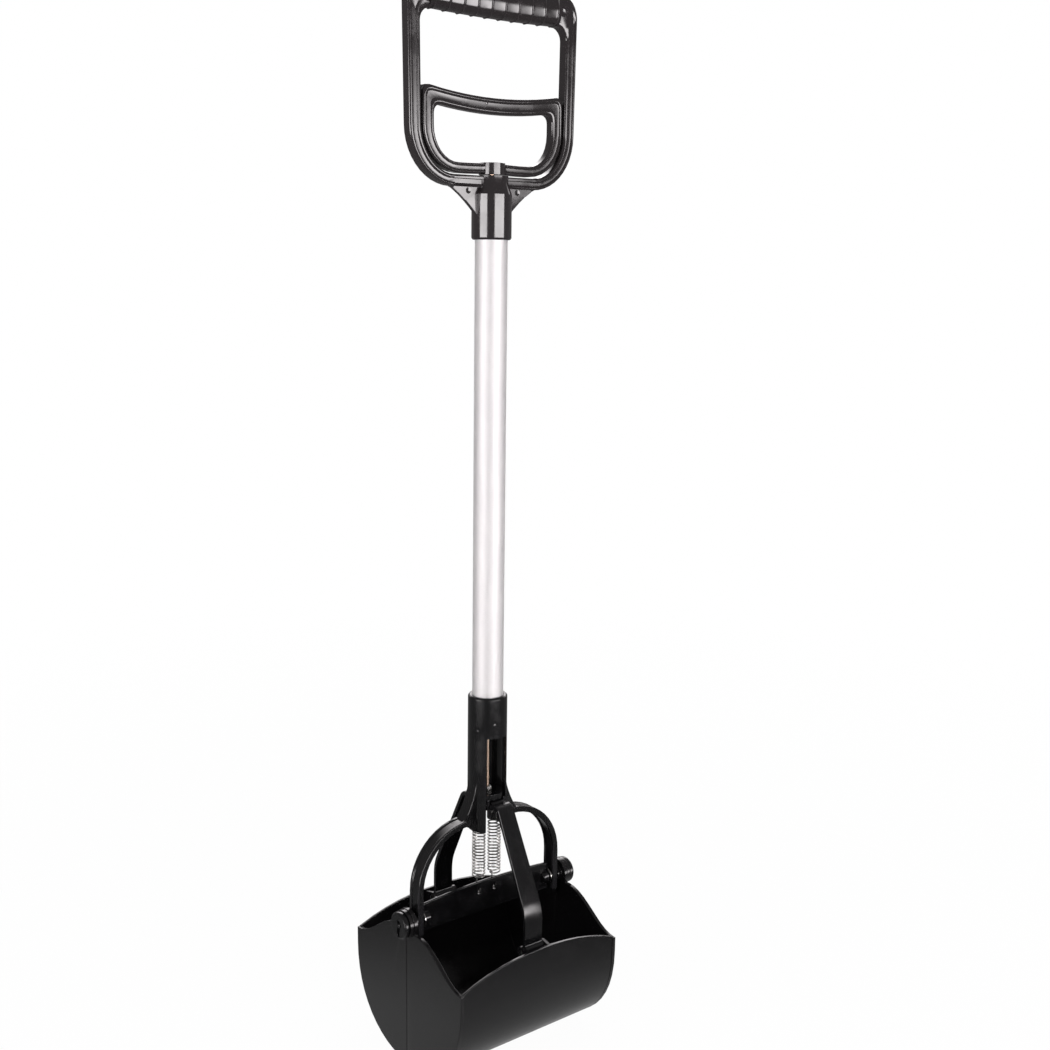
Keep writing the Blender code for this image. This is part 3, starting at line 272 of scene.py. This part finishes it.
def plastic(name, colour, worn_and_highlit, roughness, grain, waves, dust, specular):
    """Moulded black plastic: grain and waves in the surface, smeared gloss, and paler edges that are
    partly wear and partly a painted highlight.
    """
    made, tree, shader = start_material(name, roughness, 0.0)
    skin = use_group(tree, "moulded_skin", Grain=grain, Waves=waves)
    edge = use_group(tree, "edge_wear_and_highlight")["Edge"]
    settled = use_group(tree, "settled_dust", Amount=dust)["Mask"]
    # The paler edge colour is partly wear and partly a painted highlight along the rims.
    base = mix_colour(tree, edge, (*colour, 1.0), (*worn_and_highlit, 1.0))
    fill(shader.inputs["Base Color"], mix_colour(tree, settled, base, DUST_COLOUR))
    smoothest, roughest = (roughness + step for step in PLASTIC_SMEAR)
    gloss = remap(tree, skin["Gloss"], 0.0, 1.0, smoothest, roughest)
    dulled = product(tree, settled, DUST_ROUGHNESS)
    fill(shader.inputs["Roughness"], math_node(tree, "ADD", gloss, dulled))
    shader.inputs["Specular IOR Level"].default_value = specular
    bump(tree, shader, skin["Height"], SKIN_DEPTH)
    return made


def drawn_metal(name, colour, shade, roughness, depth, fineness=2200.0, metallic=1.0):
    """Metal with lines along Z in its gloss and surface, and a cloudy second colour."""
    made, tree, shader = start_material(name, roughness, metallic)
    lines = use_group(tree, "drawn_lines", Fineness=fineness)
    base = mix_colour(tree, lines["Cloud"], (*colour, 1.0), (*shade, 1.0))
    fill(shader.inputs["Base Color"], base)
    smoothest, roughest = (roughness + step for step in METAL_SMEAR)
    fill(shader.inputs["Roughness"], remap(tree, lines["Lines"], *LINE_RANGE, smoothest, roughest))
    bump(tree, shader, lines["Lines"], depth)
    return made


def make_materials():
    return {
        "handle_plastic": plastic("handle_plastic", colour=(0.019, 0.0155, 0.0165),
                                  worn_and_highlit=(0.045, 0.039, 0.041), roughness=0.11,
                                  grain=0.5, waves=0.8, dust=0.008, specular=0.75),
        "fork_plastic": plastic("fork_plastic", colour=(0.0038, 0.0037, 0.0041),
                                worn_and_highlit=(0.020, 0.019, 0.021), roughness=0.18,
                                grain=0.4, waves=0.7, dust=0.006, specular=0.5),
        "jaw_plastic": plastic("jaw_plastic", colour=(0.0036, 0.0033, 0.0037),
                               worn_and_highlit=(0.022, 0.020, 0.021), roughness=0.18,
                               grain=0.35, waves=0.9, dust=0.006, specular=0.5),
        "satin_aluminium": drawn_metal("satin_aluminium", colour=(0.74, 0.72, 0.725),
                                       shade=(0.71, 0.69, 0.70), roughness=0.60,
                                       depth=0.001 * MM, metallic=0.6),
        "spring_steel": drawn_metal("spring_steel", colour=(0.52, 0.515, 0.50),
                                    shade=(0.42, 0.41, 0.40), roughness=0.26,
                                    depth=0.002 * MM, fineness=5200.0),
        "rod_steel": drawn_metal("rod_steel", colour=(0.80, 0.60, 0.47),
                                 shade=(0.66, 0.45, 0.33), roughness=0.24,
                                 depth=0.004 * MM, fineness=4000.0),
    }


# Mesh helpers

def select_only(thing):
    bpy.ops.object.select_all(action='DESELECT')
    thing.select_set(True)
    bpy.context.view_layer.objects.active = thing


def apply_modifier(thing, kind, **settings):
    step = thing.modifiers.new(kind.lower(), kind)
    for name, value in settings.items():
        setattr(step, name, value)
    select_only(thing)
    bpy.ops.object.modifier_apply(modifier=step.name)


def finish_piece(piece, body, slot, *nodes):
    """Gives a finished mesh its material and its body, and hides the nodes that it stands for."""
    piece.data.materials.clear()
    piece.data.materials.append(MATERIALS[slot])
    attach(piece, body)
    if nodes:
        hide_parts(*nodes)
    return piece


# Rounded edges

WELD_REACH = 0.004 * MM
SLIVER = 0.01 * MM
FLAT_ANGLE = math.radians(1.2)
QUAD_SKEW = FLAT_ANGLE * 60
EDGE_ANGLE = math.radians(32.0)
RIDGE_ANGLE = math.radians(11.0)
FOLD_ANGLE = math.radians(170.0)
# Share of the room beside an edge that its rounding may take, so that two fit on one lip
LIP_SHARE = 0.42
LEAST_ROUNDING = 0.05 * MM
ROUNDING_STEPS = 2
ROUNDING_TRIES = 12
# How near to an edge a fold counts as its own, in widths of the rounding
FOLD_REACH = 2.0
NORMAL_WEIGHT = 60
CREASE_REACH = 0.02 * MM
COLLAR_RIM = 686.4 * MM


def merged_copy(name, source):
    """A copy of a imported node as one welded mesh, its flat triangles joined into quads."""
    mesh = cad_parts[source].data.copy()
    mesh.name = name
    piece = bpy.data.objects.new(name, mesh)
    SCENE.collection.objects.link(piece)
    select_only(piece)
    bpy.ops.object.mode_set(mode='EDIT')
    bpy.ops.mesh.select_all(action='SELECT')
    bpy.ops.mesh.remove_doubles(threshold=WELD_REACH)
    bpy.ops.mesh.dissolve_degenerate(threshold=SLIVER)
    bpy.ops.mesh.customdata_custom_splitnormals_clear()
    bpy.ops.mesh.tris_convert_to_quads(face_threshold=FLAT_ANGLE, shape_threshold=QUAD_SKEW)
    bpy.ops.mesh.select_all(action='DESELECT')
    bpy.ops.object.mode_set(mode='OBJECT')
    return piece


def is_sharper(edge, angle):
    """Whether an edge's two faces turn by more than an angle."""
    return len(edge.link_faces) == 2 and edge.calc_face_angle(0.0) > angle


def room_beside(edge, face):
    """How far a face reaches sideways from one of its edges."""
    start = edge.verts[0].co
    way = (edge.verts[1].co - start).normalized()
    steps = [corner.co - start for corner in face.verts]
    return max((step - way * step.dot(way)).length for step in steps)


def folded_places(mesh):
    """Where a mesh turns back on itself, as a tree of points, or None."""
    bm = bmesh.new()
    bm.from_mesh(mesh)
    folded = [edge for edge in bm.edges if is_sharper(edge, FOLD_ANGLE)]
    tree = KDTree(len(folded)) if folded else None
    for i, edge in enumerate(folded):
        tree.insert((edge.verts[0].co + edge.verts[1].co) / 2, i)
    if tree:
        tree.balance()
    bm.free()
    return tree


def beside_fold(edge, tree, reach):
    """Whether one of the folded places is within reach of an edge."""
    start, end = (corner.co for corner in edge.verts)
    search = (end - start).length / 2 + reach
    for place, _, _ in tree.find_range(start.lerp(end, 0.5), search):
        share = min(max(intersect_point_line(place, start, end)[1], 0.0), 1.0)
        if (start.lerp(end, share) - place).length < reach:
            return True
    return False


def weigh_edges(mesh, width, folds):
    """Weighs each sharp edge by the room beside it, so that no two roundings meet on a lip.

    An edge beside which an earlier try folded stays sharp."""
    bm = bmesh.new()
    bm.from_mesh(mesh)
    weight = bm.edges.layers.float.new("bevel_weight_edge")
    for edge in bm.edges:
        if not is_sharper(edge, EDGE_ANGLE):
            continue
        room = min(room_beside(edge, face) for face in edge.link_faces)
        share = min(1.0, room * LIP_SHARE / width)
        spoilt = any(beside_fold(edge, tree, FOLD_REACH * width) for tree in folds)
        if share * width > LEAST_ROUNDING and not spoilt:
            edge[weight] = share
    bm.to_mesh(mesh)
    bm.free()


def bevelled_copy(name, source, width):
    """A merged copy with rounded edges.

    Where a try folds over itself, the next one keeps those edges sharp. The last try is kept
    as it is, so a few narrow folds can remain."""
    folds = []
    for attempt in range(ROUNDING_TRIES):
        piece = merged_copy(name, source)
        weigh_edges(piece.data, width, folds)
        apply_modifier(piece, 'BEVEL', width=width, segments=ROUNDING_STEPS, limit_method='WEIGHT',
                       use_clamp_overlap=False, miter_outer='MITER_ARC')
        tree = folded_places(piece.data)
        if not tree or attempt == ROUNDING_TRIES - 1:
            break
        folds.append(tree)
        dropped = piece.data
        bpy.data.objects.remove(piece, do_unlink=True)
        bpy.data.meshes.remove(dropped)
    return piece


def rounded(name, source, body, slot, width, creases=(), smooth=EDGE_ANGLE):
    """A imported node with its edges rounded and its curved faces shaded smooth.

    At the heights in creases the shading stays sharp."""
    piece = bevelled_copy(name, source, width)
    points = piece.data.vertices
    for edge in piece.data.edges:
        for height in creases:
            if all(abs(points[i].co.z - height) < CREASE_REACH for i in edge.vertices):
                edge.use_edge_sharp = True
    select_only(piece)
    bpy.ops.object.shade_smooth_by_angle(angle=smooth)
    apply_modifier(piece, 'WEIGHTED_NORMAL', keep_sharp=True, weight=NORMAL_WEIGHT)
    return finish_piece(piece, body, slot, source)


# Springs

SPRING_BOTTOM, SPRING_TOP = 0.127, 0.197
COIL_BOTTOM, COIL_TOP = 0.1415, 0.1845
COIL_TURNS = 15.75
COIL_MEAN = 5.05 * MM
WIRE_RADIUS = 0.62 * MM
WIRE_ROUNDNESS = 3
WIRE_WELD = 0.002 * MM
HOOK_RADIUS = 2.5 * MM
HOOK_TAIL = 1.5 * MM
HOOK_STEPS = 8
TURN_STEPS = 20
SPRING_OFFSET = 7.9 * MM


def spring_route(side):
    """Wire of one spring: lower hook across the plate, coil, upper hook in the slider."""
    low = SPRING_BOTTOM + HOOK_RADIUS
    high = SPRING_TOP - HOOK_RADIUS
    route = [Vector((0.0, -HOOK_RADIUS, low + HOOK_TAIL))]
    for i in range(HOOK_STEPS + 1):
        angle = math.pi + math.pi * i / HOOK_STEPS
        route.append(Vector((0.0, HOOK_RADIUS * math.cos(angle), low + HOOK_RADIUS * math.sin(angle))))
    lead = TURN_STEPS // 2
    count = int(COIL_TURNS * TURN_STEPS)
    for i in range(-lead, count + lead + 1):
        drawn_in = max(-i / lead, (i - count) / lead, 0.0)
        ease = drawn_in ** 2 * (3 - 2 * drawn_in)
        radius = COIL_MEAN + (HOOK_RADIUS - COIL_MEAN) * ease
        angle = math.pi / 2 + 2 * math.pi * (i + lead) / TURN_STEPS
        height = COIL_BOTTOM + (COIL_TOP - COIL_BOTTOM) * i / count
        route.append(Vector((radius * math.cos(angle), radius * math.sin(angle), height)))
    for i in range(HOOK_STEPS + 1):
        angle = math.pi * i / HOOK_STEPS
        route.append(Vector((HOOK_RADIUS * math.cos(angle), 0.0, high + HOOK_RADIUS * math.sin(angle))))
    route.append(Vector((-HOOK_RADIUS, 0.0, high - HOOK_TAIL)))
    return [Vector((side * (SPRING_OFFSET + p.x), p.y, p.z)) for p in route]


def wind_spring(side, label):
    """One wound spring as a closed mesh."""
    route = spring_route(side)
    curve = bpy.data.curves.new(label + "_wound_spring", 'CURVE')
    curve.dimensions = '3D'
    curve.bevel_depth = WIRE_RADIUS
    curve.bevel_resolution = WIRE_ROUNDNESS
    curve.use_fill_caps = True
    wire = curve.splines.new('POLY')
    wire.points.add(len(route) - 1)
    for knot, point in zip(wire.points, route):
        knot.co = (*point, 1.0)
    spring = bpy.data.objects.new(label + "_wound_spring", curve)
    SCENE.collection.objects.link(spring)
    select_only(spring)
    bpy.ops.object.convert(target='MESH')
    spring = bpy.context.object
    bpy.ops.object.mode_set(mode='EDIT')
    bpy.ops.mesh.select_all(action='SELECT')
    bpy.ops.mesh.remove_doubles(threshold=WIRE_WELD)
    bpy.ops.object.mode_set(mode='OBJECT')
    bpy.ops.object.shade_smooth_by_angle(angle=EDGE_ANGLE)
    spring.data.materials.clear()
    spring.data.materials.append(MATERIALS["spring_steel"])
    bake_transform(spring)
    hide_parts(label + "_spring")


# Pieces

# How wide each kind of piece is rounded
MOULDED_EDGE = 0.6 * MM
CAP_EDGE = 0.4 * MM
STRAP_EDGE = 0.35 * MM
PLATE_EDGE = 0.3 * MM
SLIDER_EDGE = 0.25 * MM
METAL_EDGE = 0.2 * MM
PIN_EDGE = 0.15 * MM


def add_pieces():
    """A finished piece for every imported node."""
    rounded("handle_moulding", "grip_handle", "frame", "handle_plastic", MOULDED_EDGE,
            creases=(COLLAR_RIM,))
    rounded("squeeze_trigger", "trigger", "puller", "handle_plastic", MOULDED_EDGE)
    rounded("fork_moulding", "yoke", "frame", "fork_plastic", MOULDED_EDGE)
    rounded("spring_bar", "spring_plate", "frame", "fork_plastic", PLATE_EDGE)
    rounded("aluminium_tube", "tube", "frame", "satin_aluminium", METAL_EDGE)
    rounded("crosshead", "slider", "puller", "fork_plastic", SLIDER_EDGE)
    rounded("brass_rod", "pull_rod", "puller", "rod_steel", PIN_EDGE)
    rounded("lock_nut", "rod_lock_nut", "puller", "spring_steel", METAL_EDGE)
    for end in ("front", "rear"):
        rounded(end + "_bucket_half", end + "_jaw", end + "_jaw", "jaw_plastic", MOULDED_EDGE)
        rounded(end + "_link", end + "_strap", end + "_strap", "fork_plastic", STRAP_EDGE,
                smooth=RIDGE_ANGLE)
        rounded(end + "_upper_pin", end + "_link_pin", "puller", "spring_steel", PIN_EDGE)
        rounded(end + "_lower_pin", end + "_clevis_pin", end + "_jaw", "spring_steel", PIN_EDGE)
    for side, label in SIDES:
        rounded(label + "_pivot", label + "_hinge_pin", "frame", "fork_plastic", CAP_EDGE)
        rounded(label + "_push_on_washer", label + "_pin_retainer", "frame", "spring_steel", PIN_EDGE)
        wind_spring(side, label)


# Moulded marks

# Shares of a mark's radius or height
MARK_RIM = 0.28
MARK_DISH, MARK_STEP = -0.6, 0.3
MARK_ROUNDING = 0.2
# How far up a face of the upright pad looks when it is the top
TOP_FACING = 0.9

GRIP_FACE, GUSSET_FACE, TRIGGER_FACE = -4.8 * MM, -1.9 * MM, -3.2 * MM
FRONTWARDS = (0.0, -1.0, 0.0)
NUB_FACING = (-0.29, -0.96, 0.0)
FORK_GATE_FACING = (-0.88, -0.47, 0.0)


def moulded_mark(name, body, slot, place, facing, radius, height, corners, hollow=False):
    """A low raised pad, stepped on top or dished into a ring, half sunk into what carries it."""
    way = Vector(facing).normalized()
    bpy.ops.object.select_all(action='DESELECT')
    bpy.ops.mesh.primitive_cylinder_add(vertices=corners, radius=radius, depth=2 * height,
                                        location=place, rotation=way.to_track_quat('Z', 'Y').to_euler())
    piece = bpy.context.object
    piece.name = name
    bpy.ops.object.mode_set(mode='EDIT')
    bpy.ops.mesh.select_all(action='DESELECT')
    bpy.ops.object.mode_set(mode='OBJECT')
    for face in piece.data.polygons:
        face.select = face.normal.z > TOP_FACING
    bpy.ops.object.mode_set(mode='EDIT')
    bpy.ops.mesh.inset(thickness=MARK_RIM * radius)
    bpy.ops.transform.translate(value=way * (MARK_DISH if hollow else MARK_STEP) * height)
    bpy.ops.object.mode_set(mode='OBJECT')
    bpy.ops.object.transform_apply(location=True, rotation=True, scale=True)
    apply_modifier(piece, 'BEVEL', width=MARK_ROUNDING * height, segments=ROUNDING_STEPS,
                   limit_method='ANGLE')
    bpy.ops.object.shade_smooth_by_angle(angle=EDGE_ANGLE)
    return finish_piece(piece, body, slot)


def add_marks():
    """Ejector and gate marks that the mould leaves, each on the face that carries it."""
    moulded_mark("grip_ring_mark", "frame", "handle_plastic",
                 place=(63.2 * MM, GRIP_FACE, 823.5 * MM), facing=FRONTWARDS,
                 radius=3.2 * MM, height=0.35 * MM, corners=32, hollow=True)
    for side, label in SIDES:
        moulded_mark(label + "_gusset_mark", "frame", "handle_plastic",
                     place=(side * 23.2 * MM, GUSSET_FACE, 688.4 * MM), facing=FRONTWARDS,
                     radius=2.3 * MM, height=0.3 * MM, corners=28, hollow=True)
    moulded_mark("trigger_gate_mark", "puller", "handle_plastic",
                 place=(-7.9 * MM, TRIGGER_FACE, 752.0 * MM), facing=FRONTWARDS,
                 radius=1.4 * MM, height=0.25 * MM, corners=20)
    moulded_mark("fork_latch_nub", "frame", "fork_plastic",
                 place=(-4.5 * MM, -15.2 * MM, 273.2 * MM), facing=NUB_FACING,
                 radius=2.4 * MM, height=0.5 * MM, corners=3)
    moulded_mark("fork_gate_mark", "frame", "fork_plastic",
                 place=(-14.4 * MM, -6.5 * MM, 268.3 * MM), facing=FORK_GATE_FACING,
                 radius=1.1 * MM, height=0.3 * MM, corners=18)


# Background and reflections

WHITE = (1.0, 1.0, 1.0, 1.0)
ROOM_LEVEL = 0.5
MIRRORED_COLOUR = (1.0, 0.965, 0.972, 1.0)
MIRRORED_ROOM = 0.20
MIRRORED_BELOW = 0.17
MIRRORED_BACK = 4.0
# Each softbox seen in the gloss: left and right edge in degrees from the camera's side, softness
MIRRORED_BOXES = ((-67.0, -24.0, 1.5), (20.0, 77.0, 2.2))
BOX_LEVEL = 9.5
# Where each edge starts and ends, as the height of a direction of unit length
HORIZON = (-0.12, 0.05)
BOX_FOOT, BOX_HEAD = (-0.24, -0.12), (0.150, 0.060)
GLOW_FOOT, GLOW_HEAD = (0.18, 0.36), (0.80, 0.62)
# The glow comes up behind the object, by how far a direction points to the camera
GLOW_BEHIND = (-0.45, -0.85)


def along(tree, vector, way):
    """How far a vector points along a fixed level direction."""
    made = node(tree, "ShaderNodeVectorMath", operation='DOT_PRODUCT')
    fill(made.inputs[0], vector)
    made.inputs[1].default_value = way
    return made.outputs["Value"]


def mirrored_light(tree):
    """How bright the room is in reflections: floor level, a glow behind and two softboxes."""
    place = node(tree, "ShaderNodeTexCoord").outputs["Generated"]
    towards = along(tree, place, TO_CAMERA)
    aside = along(tree, place, TO_RIGHT)
    turn = product(tree, math_node(tree, "ARCTAN2", aside, towards), math.degrees(1.0))
    height = split(tree, place)["Z"]
    glow = product(tree, remap(tree, towards, *GLOW_BEHIND), remap(tree, height, *GLOW_FOOT),
                   remap(tree, height, *GLOW_HEAD))
    level = remap(tree, height, *HORIZON, MIRRORED_BELOW, MIRRORED_ROOM)
    lit = math_node(tree, "ADD", level, product(tree, glow, MIRRORED_BACK))
    tall = product(tree, remap(tree, height, *BOX_FOOT), remap(tree, height, *BOX_HEAD))
    for start, end, softness in MIRRORED_BOXES:
        wide = product(tree, remap(tree, turn, start - softness, start + softness),
                       remap(tree, turn, end + softness, end - softness))
        lit = math_node(tree, "ADD", lit, product(tree, wide, tall, BOX_LEVEL))
    return lit


def add_world():
    """White to the camera, an even room for matt surfaces, and softboxes for the gloss."""
    world = bpy.data.worlds.new("studio")
    world.use_nodes = True
    SCENE.world = world
    tree = world.node_tree
    tree.nodes.clear()
    out = node(tree, "ShaderNodeOutputWorld")
    shown = node(tree, "ShaderNodeBackground")
    shown.inputs["Color"].default_value = WHITE
    room = node(tree, "ShaderNodeBackground")
    room.inputs["Strength"].default_value = ROOM_LEVEL
    mirrored = node(tree, "ShaderNodeBackground")
    mirrored.inputs["Color"].default_value = MIRRORED_COLOUR
    fill(mirrored.inputs["Strength"], mirrored_light(tree))
    ray = node(tree, "ShaderNodeLightPath").outputs
    glossy = math_node(tree, "MAXIMUM", ray["Is Glossy Ray"], ray["Is Transmission Ray"])
    lighting = mix_shader(tree, glossy, room.outputs[0], mirrored.outputs[0])
    seen = mix_shader(tree, ray["Is Camera Ray"], lighting, shown.outputs[0])
    fill(out.inputs["Surface"], seen)


# Floor

FLOOR_RADIUS = 1.6
FLOOR_SIDES = 96
FLOOR_SOLID = 0.35
FLOOR_COLOUR = (0.9, 0.9, 0.9, 1.0)
FLOOR_ROUGHNESS = 0.9
FLOOR_SHOWN = 1.0
# Share of white in what the camera sees; the rest is lit, and carries the shadow
FLOOR_WHITE = 0.97
# What the gloss sees: brighter close to the object
FLOOR_NEAR, FLOOR_FAR = 0.12, 0.32
MIRRORED_NEAR = 0.42


def floor_material():
    """Pale to the eye, darker in reflections, and clear towards its rim."""
    material = bpy.data.materials.new("pale_floor")
    material.use_nodes = True
    tree = material.node_tree
    lit = tree.nodes["Principled BSDF"]
    lit.inputs["Base Color"].default_value = FLOOR_COLOUR
    lit.inputs["Roughness"].default_value = FLOOR_ROUGHNESS
    lit.inputs["Specular IOR Level"].default_value = 0.0
    shown = node(tree, "ShaderNodeEmission")
    shown.inputs["Strength"].default_value = FLOOR_SHOWN
    length = node(tree, "ShaderNodeVectorMath", operation='LENGTH')
    fill(length.inputs[0], object_place(tree))
    away = length.outputs["Value"]
    mirrored = node(tree, "ShaderNodeEmission")
    fill(mirrored.inputs["Strength"],
         remap(tree, away, FLOOR_NEAR, FLOOR_FAR, MIRRORED_NEAR, MIRRORED_BELOW))
    ray = node(tree, "ShaderNodeLightPath").outputs
    seen = mix_shader(tree, product(tree, ray["Is Camera Ray"], FLOOR_WHITE),
                      lit.outputs[0], shown.outputs[0])
    reflected = mix_shader(tree, ray["Is Glossy Ray"], seen, mirrored.outputs[0])
    clear = node(tree, "ShaderNodeBsdfTransparent")
    solid = remap(tree, away, FLOOR_SOLID, FLOOR_RADIUS, 1.0, 0.0)
    faded = mix_shader(tree, solid, clear.outputs[0], reflected)
    fill(tree.nodes["Material Output"].inputs["Surface"], faded)
    return material


def add_floor():
    """Pale floor that fades into the white background all round."""
    bpy.ops.object.select_all(action='DESELECT')
    bpy.ops.mesh.primitive_circle_add(vertices=FLOOR_SIDES, radius=FLOOR_RADIUS, fill_type='NGON',
                                      location=(0, 0, 0))
    floor = bpy.context.object
    floor.name = "floor"
    floor.data.materials.append(floor_material())


# Lamps

def aim(thing, place, target):
    """Puts a lamp at a place and turns it to a target."""
    direction = Vector(target) - Vector(place)
    turned = direction.to_track_quat('-Z', 'Y').to_matrix().to_4x4()
    thing.matrix_world = Matrix.Translation(place) @ turned


def softbox(name, azimuth, distance, height, width, tall, power, target_height):
    """A soft light for matt surfaces; the gloss shows the world's boxes instead."""
    around = Matrix.Rotation(math.radians(azimuth), 3, 'Z') @ TO_CAMERA
    place = around * distance + Vector((0.0, 0.0, height))
    data = bpy.data.lights.new(name, 'AREA')
    data.shape = 'RECTANGLE'
    data.size = width
    data.size_y = tall
    data.energy = power
    lamp = bpy.data.objects.new(name, data)
    SCENE.collection.objects.link(lamp)
    lamp.visible_glossy = False
    aim(lamp, place, (0.0, 0.0, target_height))


def add_lights():
    softbox("left_box", azimuth=-46.0, distance=1.5, height=0.70, width=1.20, tall=0.90,
            power=14.0, target_height=0.45)
    softbox("right_box", azimuth=47.0, distance=1.5, height=0.70, width=1.50, tall=0.90,
            power=14.0, target_height=0.45)
    softbox("top_box", azimuth=150.0, distance=1.1, height=1.75, width=1.2, tall=0.8,
            power=9.0, target_height=0.25)


# Scene

def main():
    add_camera()
    for build in (build_moulded_skin, build_edge_wear_and_highlight, build_dust, build_drawn_lines):
        build()
    MATERIALS.update(make_materials())
    add_pieces()
    add_marks()
    add_world()
    add_floor()
    add_lights()
    SCENE.view_settings.view_transform = 'Standard'


main()
